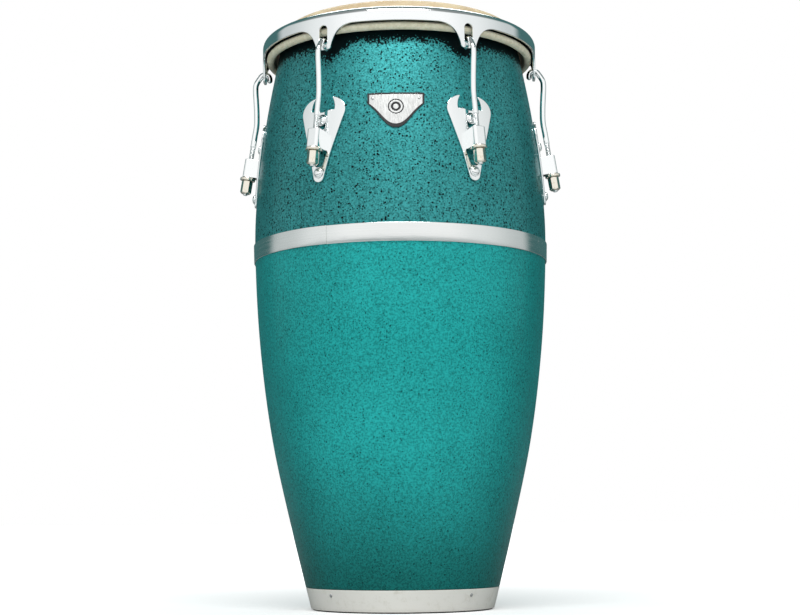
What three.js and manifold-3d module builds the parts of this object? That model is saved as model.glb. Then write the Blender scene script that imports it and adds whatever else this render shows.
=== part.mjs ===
// A conga drum: a two-part shell, a natural-skin head under a six-eared rim, and six tuning lugs.
// Millimetres, +Z up, origin on the floor under the drum's axis, badge towards -Y.
import * as THREE from "three";
import { mergeVertices } from "three/addons/utils/BufferGeometryUtils.js";
import Module from "manifold-3d";

const wasm = await Module();
wasm.setup();

// ---- Driving dimensions ------------------------------------------------------------------------

const RIM_TOP = 711; // height of the drum to the top of its rim, 28 in
const SHELL_TOP = RIM_TOP + 13.7; // the bearing edge stands proud of the rim
const GAP = 0.3; // clearance between neighbouring pieces
const FACETS = 36; // facets round the drum, a multiple of the lug count
const FACET_HEIGHT = SHELL_TOP / 10; // height of a facet of the shell
const LUG_COUNT = 6;
const FRONT = -Math.PI / 2; // the badge's direction round the drum
const LUG_STEP = (2 * Math.PI) / LUG_COUNT;
const FIRST_LUG = FRONT + LUG_STEP / 2; // lugs stand clear of the badge on both sides

// Height and outer radius of the shell: foot, flare, belly, shoulder and bearing edge.
const SHELL_STATIONS = [
  [0, 112],
  [93, 135],
  [205, 159.8],
  [317, 175],
  [430, 182],
  [500, 181],
  [606, 168.8],
  [SHELL_TOP, 146.1],
];
const SHELL_WALL = 6;
const EDGE = { rounding: 12, wall: 14, depth: 30 }; // the shell thickens inwards to its bearing edge
const SEAM_Z = 438; // where the upper and lower shell meet

const BAND = { height: 22, thickness: 1.3, lapAngle: FRONT - LUG_STEP / 2, lapHalfWidth: 11 };
const SLEEVE = { height: 40, thickness: 4 };
const COLLAR = { top: 27, bottom: 1.5, thickness: 1.5, rivets: 4, rivetZ: 20, rivetRadius: 2.2 };
const FOOT = { height: 4, width: 6.5 };

const SKIN = 1.6; // thickness of the skin of the head
const SKIRT_Z = RIM_TOP - 9; // the head's own skin ends here, under the rim
const HOOP = { radius: 164, z: RIM_TOP - 24, rod: 2.6 };
const HEM = { roll: 4.4, tail: 1.2, tailRadius: 155.6, tailTop: SKIRT_Z - 3.6 };

const RIM = { outer: 173.5, wall: 2.9, bandBottom: RIM_TOP - 19, roll: 9, innerRoll: 4.5 };
const EAR = { bottom: RIM_TOP - 48, halfWidth: 11.6, footHalfWidth: 10.6, flare: 38, neck: 24 };
const SLOT = { halfWidth: 5.6, bottom: EAR.bottom + 6.5, top: RIM_TOP - 17.8 };

const HOOK = {
  shank: 3.5,
  thread: 3.175,
  bend: 6.1,
  inset: 0.25, // the bend stands this far inside the middle of the ear's wall
  lift: 1.4, // clearance over the bar that the hook pulls on
  tip: 5,
  bendEnd: Math.PI * 0.2, // the bar leaves its bend leaning outwards
  waist: [[182.8, 662], [183.7, 654], [182.9, 640], [182.1, 624]], // radius and height
  rodHeights: [608, 594, 580],
  sides: 8,
  steps: 28,
};
const ROD = { radius: 191.2, z: 552, lean: 0.16 }; // the rod's line: radius at a height, and its lean
const ROD_TILT = Math.atan(ROD.lean);

const PLATE = { thickness: 3, bottom: 501, top: 605, tipRadius: 7, saddleZ: 588.6, saddleDip: 4 };
const UPPER_OPENING = { halfWidth: 5.2, bottom: 564.2, top: 583.4 };
const LOWER_OPENING = { bottomHalfWidth: 5, topHalfWidth: 9.4, bottom: 519.6, top: 538.4 };
const STRAP = { halfWidth: 8, wall: 2.6, front: 6.6, below: 11.8, above: 11.4 };
const WASHER = { radius: 9.5, bore: 3.7, thickness: 3.6, chamfer: 0.9 };
const NUT = { corner: 7.2, bore: 3.45, length: 16.8, chamfer: 2.2 };
const BOLT = { upperZ: 575.5, lowerZ: 512, shank: 2.6, hole: 3.2, head: 5.3, flange: 6.3, dome: 3.4 };
const BACKING = { halfWidth: 11, thickness: 2.5, bottom: 503, top: 587 };

const BADGE = { top: 605, side: 592, bottom: 562, halfWidth: 33.5, thickness: 1.5, pinX: 27, pinZ: 598 };
const PIN = { head: 1.8, shank: 1.1, hole: 1.4, length: 4.5 };

// ---- Materials ---------------------------------------------------------------------------------

const finish = (color, roughness, metalness) =>
  new THREE.MeshStandardMaterial({ color, roughness, metalness });
const MATERIALS = {
  upperLacquer: finish(0x1f8f86, 0.35, 0),
  lowerLacquer: finish(0x25948a, 0.35, 0),
  skin: finish(0xd8c49c, 0.7, 0),
  hemSkin: finish(0xcfc3a0, 0.75, 0),
  chrome: finish(0xe6ecec, 0.12, 1),
  brightBand: finish(0xdfe6e2, 0.2, 1),
  nickel: finish(0xd9cfb6, 0.25, 1),
  collar: finish(0xdcdacf, 0.45, 0),
  rubber: finish(0x2a2c2c, 0.85, 0),
  steel: finish(0x9aa0a2, 0.4, 1),
  glassFibre: finish(0x8f8a72, 0.7, 0),
  badge: finish(0xb9bdbd, 0.3, 1),
};

// ---- Solids ------------------------------------------------------------------------------------

// A closed three.js geometry as a solid that can be joined and cut.
function solidFrom(geometry) {
  const bare = geometry.index ? geometry.toNonIndexed() : geometry.clone();
  bare.deleteAttribute("normal");
  bare.deleteAttribute("uv");
  const merged = mergeVertices(bare, 1e-4);
  const corners = merged.index.array;
  const kept = [];
  for (let i = 0; i < corners.length; i += 3) {
    const [a, b, c] = [corners[i], corners[i + 1], corners[i + 2]];
    if (a !== b && b !== c && c !== a) kept.push(a, b, c);
  }
  const solid = (triangles) =>
    new wasm.Manifold(
      new wasm.Mesh({
        numProp: 3,
        vertProperties: merged.attributes.position.array,
        triVerts: new Uint32Array(triangles),
      }),
    );
  const made = solid(kept);
  return made.volume() < 0 ? solid(kept.reverse()) : made;
}

function geometryFrom(solid) {
  const mesh = solid.getMesh();
  const geometry = new THREE.BufferGeometry();
  geometry.setAttribute("position", new THREE.BufferAttribute(new Float32Array(mesh.vertProperties), 3));
  geometry.setIndex(new THREE.BufferAttribute(new Uint32Array(mesh.triVerts), 1));
  geometry.computeVertexNormals();
  return geometry;
}

function piece(name, solid, material) {
  const mesh = new THREE.Mesh(geometryFrom(solid), material);
  mesh.name = name;
  return mesh;
}

const joined = (solids) => solids.reduce((whole, next) => whole.add(next));
const cut = (body, tools) => tools.reduce((left, tool) => left.subtract(tool), body);

// The geometry of a [radius, height] outline turned about +Z. It runs anticlockwise, radius to the right.
function turnedGeometry(outline, facets = FACETS) {
  const loop = outline[0][0] === 0 ? outline : [...outline, outline[0]];
  const points = loop.map(([radius, height]) => new THREE.Vector2(radius, height));
  return new THREE.LatheGeometry(points, facets).rotateX(Math.PI / 2);
}

const turned = (outline, facets) => solidFrom(turnedGeometry(outline, facets));

const OUTWARDS = new THREE.Matrix4().makeBasis(
  new THREE.Vector3(0, 1, 0),
  new THREE.Vector3(0, 0, 1),
  new THREE.Vector3(1, 0, 0),
);

// An outline drawn round the drum and up it, pushed out from one radius to another, then turned to an angle.
function radialPrism(shape, from, to, angle = 0) {
  const geometry = new THREE.ExtrudeGeometry(shape, {
    depth: to - from,
    bevelEnabled: false,
    curveSegments: 4,
  });
  geometry.translate(0, 0, from);
  geometry.applyMatrix4(OUTWARDS);
  geometry.rotateZ(angle);
  return solidFrom(geometry);
}

// A closed outline from its right-hand half, drawn from the bottom to the top, and mirrored.
function mirrored(half) {
  const right = half.getPoints(4);
  const left = right.filter(({ x }) => x > 0.01).map(({ x, y }) => new THREE.Vector2(-x, y));
  return new THREE.Shape([...right, ...left.reverse()]);
}

// Points along an arc, in steps of an equal angle.
function arcPoints(x, y, radius, from, to, steps) {
  return Array.from({ length: steps + 1 }, (_, i) => {
    const angle = from + ((to - from) * i) / steps;
    return [x + radius * Math.cos(angle), y + radius * Math.sin(angle)];
  });
}

// ---- The shell's curve -------------------------------------------------------------------------

function stationSlope(i) {
  const before = SHELL_STATIONS[Math.max(i - 1, 0)];
  const after = SHELL_STATIONS[Math.min(i + 1, SHELL_STATIONS.length - 1)];
  return (after[1] - before[1]) / (after[0] - before[0]);
}

// Outer radius of the shell at a height: a smooth cubic from station to station.
function shellRadius(z) {
  let i = 0;
  while (i < SHELL_STATIONS.length - 2 && z > SHELL_STATIONS[i + 1][0]) i += 1;
  const [z0, r0] = SHELL_STATIONS[i];
  const [z1, r1] = SHELL_STATIONS[i + 1];
  const span = z1 - z0;
  const t = (z - z0) / span;
  const start = (1 + 2 * t) * (1 - t) ** 2 * r0 + t * (1 - t) ** 2 * span * stationSlope(i);
  const end = t * t * (3 - 2 * t) * r1 + t * t * (t - 1) * span * stationSlope(i + 1);
  return start + end;
}

// Radius of the faceted shell: straight between the curve's points at whole facet heights, so that
// every layer made to lie on the shell keeps its distance from it.
function facetRadius(z) {
  const low = Math.floor(z / FACET_HEIGHT) * FACET_HEIGHT;
  const high = low + FACET_HEIGHT;
  return shellRadius(low) + ((shellRadius(high) - shellRadius(low)) * (z - low)) / FACET_HEIGHT;
}

const shellLean = (z) => Math.atan(facetRadius(z + 0.5) - facetRadius(z - 0.5));

// Points up the shell between two heights, offset from its outer surface.
function shellLine(bottom, top, offset) {
  const heights = [bottom];
  for (let i = Math.floor(bottom / FACET_HEIGHT) + 1; i * FACET_HEIGHT < top; i += 1) {
    heights.push(i * FACET_HEIGHT);
  }
  heights.push(top);
  return heights.map((z) => [facetRadius(z) + offset, z]);
}

// A layer that follows the shell, between two heights and two offsets from its outer surface.
const shellLayer = (bottom, top, inner, outer) =>
  turned([...shellLine(bottom, top, outer), ...shellLine(bottom, top, inner).reverse()]);

// Turns a geometry built along +Z so that it stands square out of the shell at a height and angle.
function onShell(geometry, z, angle = 0) {
  geometry.rotateY(Math.PI / 2 + shellLean(z));
  geometry.translate(facetRadius(z), 0, z);
  geometry.rotateZ(angle);
  return geometry;
}

// A round hole through whatever lies on the shell at a height and angle.
function shellHole(radius, z, angle = 0) {
  const depth = 40;
  const tool = new THREE.CylinderGeometry(radius, radius, depth, 8).rotateX(Math.PI / 2);
  return solidFrom(onShell(tool, z, angle));
}

const lugAngle = (i) => FIRST_LUG + LUG_STEP * i;
const lugIndexes = Array.from({ length: LUG_COUNT }, (_, i) => i);

// ---- Shell, band and foot ----------------------------------------------------------------------

// The bearing edge's rounding, and anything that lies on it: an arc offset from its surface.
function edgeArc(offset) {
  const shoulder = SHELL_TOP - EDGE.rounding;
  const middle = facetRadius(shoulder) - EDGE.rounding;
  return arcPoints(middle, shoulder, EDGE.rounding + offset, 0, Math.PI / 2, 4);
}

function upperShell() {
  const bottom = SEAM_Z + GAP / 2;
  const lip = facetRadius(SHELL_TOP - EDGE.rounding) - EDGE.wall;
  const body = turned([
    ...shellLine(bottom, SHELL_TOP - EDGE.rounding - 1, 0),
    ...edgeArc(0),
    [lip, SHELL_TOP],
    [lip, SHELL_TOP - EDGE.rounding],
    ...shellLine(bottom, SHELL_TOP - EDGE.depth, -SHELL_WALL).reverse(),
  ]);
  const holes = lugIndexes.flatMap((i) => [
    shellHole(BOLT.hole, BOLT.upperZ, lugAngle(i)),
    shellHole(BOLT.hole, BOLT.lowerZ, lugAngle(i)),
  ]);
  return cut(body, [...holes, ...[-1, 1].map((side) => badgePinHole(side))]);
}

// The foot of the lower shell is stepped in, so that the collar lies flush round it.
function lowerShell() {
  const step = -COLLAR.thickness - GAP;
  const foot = FOOT.height + GAP;
  const body = turned([
    ...shellLine(foot, COLLAR.top + GAP, step),
    ...shellLine(COLLAR.top + GAP, SEAM_Z - GAP / 2, 0),
    ...shellLine(foot, SEAM_Z - GAP / 2, -SHELL_WALL).reverse(),
  ]);
  return cut(
    body,
    rivetAngles().map((angle) => shellHole(COLLAR.rivetRadius - 0.4, COLLAR.rivetZ, angle)),
  );
}

function seamSleeve() {
  const outer = -SHELL_WALL - GAP;
  const half = SLEEVE.height / 2;
  return shellLayer(SEAM_Z - half, SEAM_Z + half, outer - SLEEVE.thickness, outer);
}

// The metal strap over the seam, with its free end lapped over the start.
function bellyBand() {
  const half = BAND.height / 2;
  const ring = shellLayer(SEAM_Z - half, SEAM_Z + half, GAP, GAP + BAND.thickness);
  const lapOuter = GAP + 2 * BAND.thickness;
  const lap = shellLayer(SEAM_Z - half, SEAM_Z + half, GAP + BAND.thickness / 2, lapOuter);
  const patch = new THREE.Shape();
  patch.moveTo(-BAND.lapHalfWidth, SEAM_Z - BAND.height);
  patch.lineTo(BAND.lapHalfWidth, SEAM_Z - BAND.height);
  patch.lineTo(BAND.lapHalfWidth, SEAM_Z + BAND.height);
  patch.lineTo(-BAND.lapHalfWidth, SEAM_Z + BAND.height);
  const reach = shellRadius(SEAM_Z);
  return ring.add(lap.intersect(radialPrism(patch, reach - 10, reach + 10, BAND.lapAngle)));
}

const rivetAngles = () =>
  Array.from({ length: COLLAR.rivets }, (_, i) => FRONT + ((i + 0.5) * 2 * Math.PI) / COLLAR.rivets);

function baseCollar() {
  const ring = shellLayer(COLLAR.bottom, COLLAR.top, -COLLAR.thickness, 0);
  return cut(
    ring,
    rivetAngles().map((angle) => shellHole(COLLAR.rivetRadius - 0.4, COLLAR.rivetZ, angle)),
  );
}

// A rivet or pin with a low domed head; its shank runs into the shell along -Z.
function studGeometry(head, shank, headHeight, seat, length, facets = 8) {
  return turnedGeometry(
    [
      [0, seat - length],
      [shank, seat - length],
      [shank, seat],
      [head, seat],
      [head * 0.75, seat + headHeight * 0.75],
      [0, seat + headHeight],
    ],
    facets,
  );
}

function collarRivet(angle) {
  const shank = COLLAR.rivetRadius - 0.8;
  const length = SHELL_WALL + 2 * GAP;
  const stud = studGeometry(COLLAR.rivetRadius, shank, 1, GAP, length);
  return solidFrom(onShell(stud, COLLAR.rivetZ, angle));
}

// A soft ring under the shell's foot, just inside the collar.
function footRing() {
  const outer = shellRadius(0) - COLLAR.thickness - GAP;
  const inner = outer - FOOT.width;
  return turned([
    [outer, 0],
    [outer, FOOT.height],
    [inner, FOOT.height],
    [inner, 0],
  ]);
}

// ---- Badge -------------------------------------------------------------------------------------

// A plain crest: straight top, short sides and a curved bottom.
function crestOutline() {
  const { halfWidth, bottom, side, top } = BADGE;
  const half = new THREE.Path();
  half.moveTo(0, bottom);
  half.bezierCurveTo(halfWidth * 0.4, bottom, halfWidth * 0.55, side - 12, halfWidth, side);
  half.lineTo(halfWidth, top);
  return mirrored(half);
}

const badgePinAngle = (side) => FRONT + (side * BADGE.pinX) / shellRadius(BADGE.pinZ);
const badgePinHole = (side) => shellHole(PIN.hole, BADGE.pinZ, badgePinAngle(side));

function frontBadge() {
  const layer = shellLayer(BADGE.bottom - 3, BADGE.top + 3, GAP, GAP + BADGE.thickness);
  const crest = radialPrism(crestOutline(), 140, 200, FRONT);
  return cut(layer.intersect(crest), [badgePinHole(-1), badgePinHole(1)]);
}

function badgePin(side) {
  const seat = BADGE.thickness + 2 * GAP;
  const stud = studGeometry(PIN.head, PIN.shank, 0.9, seat, PIN.length);
  return solidFrom(onShell(stud, BADGE.pinZ, badgePinAngle(side)));
}

// ---- Head and rim ------------------------------------------------------------------------------

// The skin lies on the bearing edge and turns down outside the shell.
function drumhead() {
  const skirt = facetRadius(SKIRT_Z) + GAP;
  const top = SHELL_TOP + GAP + SKIN;
  return turned([
    [0, SHELL_TOP + GAP],
    ...edgeArc(GAP).reverse(),
    [skirt, SKIRT_Z],
    [skirt + SKIN, SKIRT_Z],
    ...edgeArc(GAP + SKIN),
    [0, top],
  ]);
}

// The end of the skin, tucked round the hoop: a C section open at its inner top, with a tail going up.
function headHem() {
  const from = -Math.PI;
  const to = 0.3 * Math.PI;
  return turned([
    [HEM.tailRadius, HEM.tailTop],
    ...arcPoints(HOOP.radius, HOOP.z, HEM.roll, from, to, 4),
    ...arcPoints(HOOP.radius, HOOP.z, HOOP.rod + 1.5 * GAP, to, from, 4),
    [HEM.tailRadius + HEM.tail, HEM.tailTop],
  ]);
}

function fleshHoop() {
  return turned(arcPoints(HOOP.radius, HOOP.z, HOOP.rod, 0, (5 / 3) * Math.PI, 5));
}

// An ear, from its rounded foot up its waist to the flares that run into the band.
function earOutline() {
  const { bottom, halfWidth, footHalfWidth, flare, neck } = EAR;
  const band = RIM.bandBottom - 0.1;
  const half = new THREE.Path();
  half.moveTo(0, bottom);
  half.lineTo(footHalfWidth - 5.5, bottom);
  half.quadraticCurveTo(footHalfWidth - 0.4, bottom, footHalfWidth, bottom + 5);
  half.bezierCurveTo(halfWidth + 3.4, band - neck + 14, halfWidth + 9.4, band - 1.5, flare, band);
  half.lineTo(flare, band + 4);
  return mirrored(half);
}

// A slot with a round top and a flat bottom, for the hook.
function slotOutline() {
  const shape = new THREE.Shape();
  const shoulder = SLOT.top - SLOT.halfWidth;
  shape.moveTo(-SLOT.halfWidth, SLOT.bottom);
  shape.lineTo(SLOT.halfWidth, SLOT.bottom);
  shape.lineTo(SLOT.halfWidth, shoulder);
  shape.absarc(0, shoulder, SLOT.halfWidth, 0, Math.PI, false);
  return shape;
}

// The outer wall rolls over a round top, and its inner leg drops to bear on the hem.
function crownRim() {
  const inner = RIM.outer - RIM.wall;
  const bottom = RIM.bandBottom;
  const crest = RIM.outer - RIM.roll;
  const shoulder = RIM_TOP - RIM.roll;
  const innerShoulder = RIM_TOP - RIM.innerRoll;
  const leg = crest - RIM.innerRoll;
  const lip = HOOP.z + HEM.roll + GAP;
  const quarter = Math.PI / 2;
  const band = turned([
    [RIM.outer, bottom],
    ...arcPoints(crest, shoulder, RIM.roll, 0, quarter, 4),
    ...arcPoints(crest, innerShoulder, RIM.innerRoll, quarter, 2 * quarter, 3).slice(1),
    [leg, lip],
    [leg + RIM.wall, lip],
    ...arcPoints(crest, innerShoulder, RIM.innerRoll - RIM.wall, 2 * quarter, quarter, 2),
    ...arcPoints(crest, shoulder, RIM.roll - RIM.wall, quarter, 0, 3).slice(1),
    [inner, bottom],
  ]);
  const skirt = turned([
    [RIM.outer, EAR.bottom - 4],
    [RIM.outer, bottom + 2],
    [inner, bottom + 2],
    [inner, EAR.bottom - 4],
  ]);
  const ears = joined(lugIndexes.map((i) => radialPrism(earOutline(), 150, 190, lugAngle(i))));
  const slots = lugIndexes.map((i) => radialPrism(slotOutline(), inner - 1.5, 190, lugAngle(i)));
  return cut(band.add(skirt.intersect(ears)), slots);
}

// ---- Tuning lug, built with +X outwards ---------------------------------------------------------

// The horned side plate, from the round tip at the bottom to the saddle between its horns.
function plateOutline() {
  const { bottom, top, tipRadius, saddleZ, saddleDip } = PLATE;
  const half = new THREE.Path();
  half.absarc(0, bottom + tipRadius, tipRadius, -Math.PI / 2, -Math.PI * 0.05, false);
  half.lineTo(13.6, bottom + 33);
  half.lineTo(29, bottom + 82);
  half.bezierCurveTo(32, bottom + 92, 25, top - 3, 13.2, top);
  half.lineTo(12.3, top - 1.2);
  half.quadraticCurveTo(16.6, top - 8, 16, saddleZ);
  half.lineTo(8, saddleZ);
  half.quadraticCurveTo(4, saddleZ - saddleDip / 2, 0, saddleZ - saddleDip / 2);
  return mirrored(half);
}

// The oval opening that the upper bolt clamps across.
function upperOpening() {
  const { halfWidth, bottom, top } = UPPER_OPENING;
  const half = new THREE.Path();
  half.absarc(0, bottom + halfWidth, halfWidth, -Math.PI / 2, 0, false);
  half.absarc(0, top - halfWidth, halfWidth, 0, Math.PI / 2, false);
  return mirrored(half);
}

// The tapered opening below the strap.
function lowerOpening() {
  const { bottomHalfWidth, topHalfWidth, bottom, top } = LOWER_OPENING;
  const half = new THREE.Path();
  half.moveTo(bottomHalfWidth - 3, bottom);
  half.quadraticCurveTo(bottomHalfWidth - 1, bottom, bottomHalfWidth, bottom + 1.9);
  half.lineTo(topHalfWidth, top - 2.9);
  half.quadraticCurveTo(topHalfWidth + 0.6, top, topHalfWidth - 1.8, top);
  return mirrored(half);
}

// Moves a geometry built along the rod's own line, with its origin at ROD, into the lug's frame.
function alongRod(geometry) {
  geometry.rotateY(-ROD_TILT);
  geometry.translate(ROD.radius, 0, ROD.z);
  return geometry;
}

// The U-shaped strap round the rod, seen along the rod: two walls and a flat front with round corners.
function strap() {
  const back = -(ROD.radius - shellRadius(ROD.z) - PLATE.thickness * 0.4);
  const corner = 3.5;
  const shape = new THREE.Shape();
  const { halfWidth, wall, front } = STRAP;
  shape.moveTo(back, -halfWidth);
  shape.lineTo(front - corner, -halfWidth);
  shape.quadraticCurveTo(front, -halfWidth, front, -halfWidth + corner);
  shape.lineTo(front, halfWidth - corner);
  shape.quadraticCurveTo(front, halfWidth, front - corner, halfWidth);
  shape.lineTo(back, halfWidth);
  shape.lineTo(back, halfWidth - wall);
  shape.lineTo(front - wall, halfWidth - wall);
  shape.lineTo(front - wall, -halfWidth + wall);
  shape.lineTo(back, -halfWidth + wall);
  const length = STRAP.below + STRAP.above;
  const geometry = new THREE.ExtrudeGeometry(shape, { depth: length, bevelEnabled: false, curveSegments: 3 });
  geometry.translate(0, 0, -STRAP.below);
  return solidFrom(alongRod(geometry));
}

function sidePlate() {
  const inner = GAP;
  const outer = GAP + PLATE.thickness;
  const layer = shellLayer(PLATE.bottom - 2, PLATE.top + 2, inner, outer);
  const outline = radialPrism(plateOutline(), 140, 200);
  const openings = [radialPrism(upperOpening(), 140, 200), radialPrism(lowerOpening(), 140, 200)];
  const blank = cut(layer.intersect(outline), [...openings, shellHole(BOLT.hole, BOLT.lowerZ)]);
  return blank.add(strap());
}

// A bolt with a domed head on a flange; it runs through plate and shell into the backing plate.
function lugBolt(z) {
  const seat = PLATE.thickness + 2 * GAP;
  const end = -SHELL_WALL - BACKING.thickness - 3;
  const bolt = turnedGeometry(
    [
      [0, end],
      [BOLT.shank, end],
      [BOLT.shank, seat],
      [BOLT.flange, seat],
      [BOLT.flange, seat + 1],
      [BOLT.head, seat + 1.2],
      [BOLT.head * 0.7, seat + BOLT.dome * 0.8],
      [0, seat + BOLT.dome],
    ],
    8,
  );
  return solidFrom(onShell(bolt, z));
}

function backingPlate() {
  const outer = -SHELL_WALL - GAP;
  const layer = shellLayer(BACKING.bottom - 2, BACKING.top + 2, outer - BACKING.thickness, outer);
  const shape = new THREE.Shape();
  shape.moveTo(-BACKING.halfWidth, BACKING.bottom);
  shape.lineTo(BACKING.halfWidth, BACKING.bottom);
  shape.lineTo(BACKING.halfWidth, BACKING.top);
  shape.lineTo(-BACKING.halfWidth, BACKING.top);
  const holes = [shellHole(BOLT.hole, BOLT.upperZ), shellHole(BOLT.hole, BOLT.lowerZ)];
  return cut(layer.intersect(radialPrism(shape, 140, 200)), holes);
}

const rodRadius = (z) => ROD.radius - ROD.lean * (z - ROD.z);

// Round bar bent over the ear's bar at the top, then leaning out along the rod's line to its thread.
function tuningHook() {
  const middle = RIM.outer - RIM.wall / 2 - HOOK.inset;
  const bendZ = SLOT.bottom - (HOOK.bend - HOOK.shank) + HOOK.lift;
  const line = [
    [middle - HOOK.bend, bendZ - HOOK.tip],
    ...arcPoints(middle, bendZ, HOOK.bend, Math.PI, HOOK.bendEnd, 5),
    ...HOOK.waist,
    ...HOOK.rodHeights.map((z) => [rodRadius(z), z]),
  ];
  const path = new THREE.CatmullRomCurve3(line.map(([x, z]) => new THREE.Vector3(x, 0, z)));
  const section = new THREE.Shape();
  for (let i = 0; i < HOOK.sides; i += 1) {
    const angle = (i * 2 * Math.PI) / HOOK.sides;
    const corner = [HOOK.shank * Math.cos(angle), HOOK.shank * Math.sin(angle)];
    if (i) section.lineTo(...corner);
    else section.moveTo(...corner);
  }
  const shank = new THREE.ExtrudeGeometry(section, {
    steps: HOOK.steps,
    bevelEnabled: false,
    extrudePath: path,
  });
  const top = (HOOK.rodHeights.at(-1) + 2 - ROD.z) / Math.cos(ROD_TILT);
  const end = nutBottom() - 1.8;
  const rod = new THREE.CylinderGeometry(HOOK.thread, HOOK.thread, top - end, HOOK.sides);
  rod.rotateX(Math.PI / 2);
  rod.translate(0, 0, (top + end) / 2);
  return solidFrom(shank).add(solidFrom(alongRod(rod)));
}

const washerTop = () => -STRAP.below - GAP;
const nutTop = () => washerTop() - WASHER.thickness - GAP;
const nutBottom = () => nutTop() - NUT.length;

function washer() {
  const top = washerTop();
  const bottom = top - WASHER.thickness;
  const edge = WASHER.radius - WASHER.chamfer;
  const outline = [
    [edge, bottom],
    [WASHER.radius, bottom + WASHER.chamfer],
    [WASHER.radius, top - WASHER.chamfer],
    [edge, top],
    [WASHER.bore, top],
    [WASHER.bore, bottom],
  ];
  return solidFrom(alongRod(turnedGeometry(outline, 10)));
}

// A long hexagon nut, its lower corners turned off.
function tuningNut() {
  const hexagon = new THREE.Shape();
  for (let i = 0; i < 6; i += 1) {
    const angle = (i * Math.PI) / 3;
    const corner = [NUT.corner * Math.cos(angle), NUT.corner * Math.sin(angle)];
    if (i) hexagon.lineTo(...corner);
    else hexagon.moveTo(...corner);
  }
  hexagon.holes.push(new THREE.Path().absarc(0, 0, NUT.bore, 0, 2 * Math.PI, true));
  const blank = new THREE.ExtrudeGeometry(hexagon, {
    depth: NUT.length,
    bevelEnabled: false,
    curveSegments: 6,
  });
  blank.translate(0, 0, nutBottom());
  const envelope = turnedGeometry(
    [
      [0, nutBottom() - 1],
      [NUT.corner - NUT.chamfer * 1.3, nutBottom() - 1],
      [NUT.corner - NUT.chamfer, nutBottom()],
      [NUT.corner + 0.1, nutBottom() + NUT.chamfer],
      [NUT.corner + 0.1, nutTop() + 1],
      [0, nutTop() + 1],
    ],
    12,
  );
  return solidFrom(alongRod(blank)).intersect(solidFrom(alongRod(envelope)));
}

// ---- The drum ----------------------------------------------------------------------------------

const drum = new THREE.Group();
drum.add(piece("upper_shell", upperShell(), MATERIALS.upperLacquer));
drum.add(piece("lower_shell", lowerShell(), MATERIALS.lowerLacquer));
drum.add(piece("seam_sleeve", seamSleeve(), MATERIALS.glassFibre));
drum.add(piece("belly_band", bellyBand(), MATERIALS.brightBand));
drum.add(piece("base_collar", baseCollar(), MATERIALS.collar));
rivetAngles().forEach((angle, i) => {
  drum.add(piece(`collar_rivet_${i + 1}`, collarRivet(angle), MATERIALS.steel));
});
drum.add(piece("foot_ring", footRing(), MATERIALS.rubber));
drum.add(piece("front_badge", frontBadge(), MATERIALS.badge));
drum.add(piece("badge_pin_left", badgePin(-1), MATERIALS.steel));
drum.add(piece("badge_pin_right", badgePin(1), MATERIALS.steel));
drum.add(piece("drumhead", drumhead(), MATERIALS.skin));
drum.add(piece("head_hem", headHem(), MATERIALS.hemSkin));
drum.add(piece("flesh_hoop", fleshHoop(), MATERIALS.steel));
drum.add(piece("crown_rim", crownRim(), MATERIALS.chrome));

const LUG_PIECES = [
  ["side_plate", sidePlate(), MATERIALS.chrome],
  ["upper_bolt", lugBolt(BOLT.upperZ), MATERIALS.chrome],
  ["lower_bolt", lugBolt(BOLT.lowerZ), MATERIALS.chrome],
  ["backing_plate", backingPlate(), MATERIALS.steel],
  ["tuning_hook", tuningHook(), MATERIALS.chrome],
  ["washer", washer(), MATERIALS.nickel],
  ["tuning_nut", tuningNut(), MATERIALS.nickel],
];
lugIndexes.forEach((i) => {
  const lug = new THREE.Group();
  lug.rotation.z = lugAngle(i);
  LUG_PIECES.forEach(([name, solid, material]) => {
    lug.add(piece(`${name}_${i + 1}`, solid, material));
  });
  drum.add(lug);
});

export default drum;
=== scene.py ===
"""A conga drum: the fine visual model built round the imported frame. Metres, +Z up, badge towards -Y."""

import math

import bmesh
import bpy
from mathutils import Matrix, Vector, noise
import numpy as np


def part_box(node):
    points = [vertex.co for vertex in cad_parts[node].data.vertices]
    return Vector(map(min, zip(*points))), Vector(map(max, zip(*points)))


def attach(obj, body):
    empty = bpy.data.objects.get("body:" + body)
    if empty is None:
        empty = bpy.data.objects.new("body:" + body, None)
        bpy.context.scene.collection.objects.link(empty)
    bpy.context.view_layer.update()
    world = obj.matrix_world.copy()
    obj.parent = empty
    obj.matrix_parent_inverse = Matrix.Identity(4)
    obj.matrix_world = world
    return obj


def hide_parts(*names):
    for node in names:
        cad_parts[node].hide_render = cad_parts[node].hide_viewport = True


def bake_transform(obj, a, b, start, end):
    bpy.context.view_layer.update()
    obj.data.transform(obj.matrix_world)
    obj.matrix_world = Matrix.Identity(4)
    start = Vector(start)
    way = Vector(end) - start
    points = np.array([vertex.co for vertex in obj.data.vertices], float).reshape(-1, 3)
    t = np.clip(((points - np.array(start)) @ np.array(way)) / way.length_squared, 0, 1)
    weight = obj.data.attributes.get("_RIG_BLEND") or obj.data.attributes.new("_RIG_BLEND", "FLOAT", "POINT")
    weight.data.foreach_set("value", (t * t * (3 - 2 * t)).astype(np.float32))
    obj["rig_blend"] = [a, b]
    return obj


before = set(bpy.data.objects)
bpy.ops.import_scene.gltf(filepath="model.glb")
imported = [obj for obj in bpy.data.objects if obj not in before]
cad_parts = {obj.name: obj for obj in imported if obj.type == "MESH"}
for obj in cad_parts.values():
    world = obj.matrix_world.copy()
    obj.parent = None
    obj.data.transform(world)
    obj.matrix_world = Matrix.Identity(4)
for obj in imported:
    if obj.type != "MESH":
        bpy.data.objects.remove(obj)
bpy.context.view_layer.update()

# ---- Sizes from the frame ----------------------------------------------------------------------

MM = 0.001
TAU = 2 * math.pi
FRONT = -math.pi / 2
LUGS = 6
LUG_STEP = TAU / LUGS
LUG_ANGLES = [FRONT + LUG_STEP * (i + 0.5) for i in range(LUGS)]
GAP = 0.3 * MM


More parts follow.
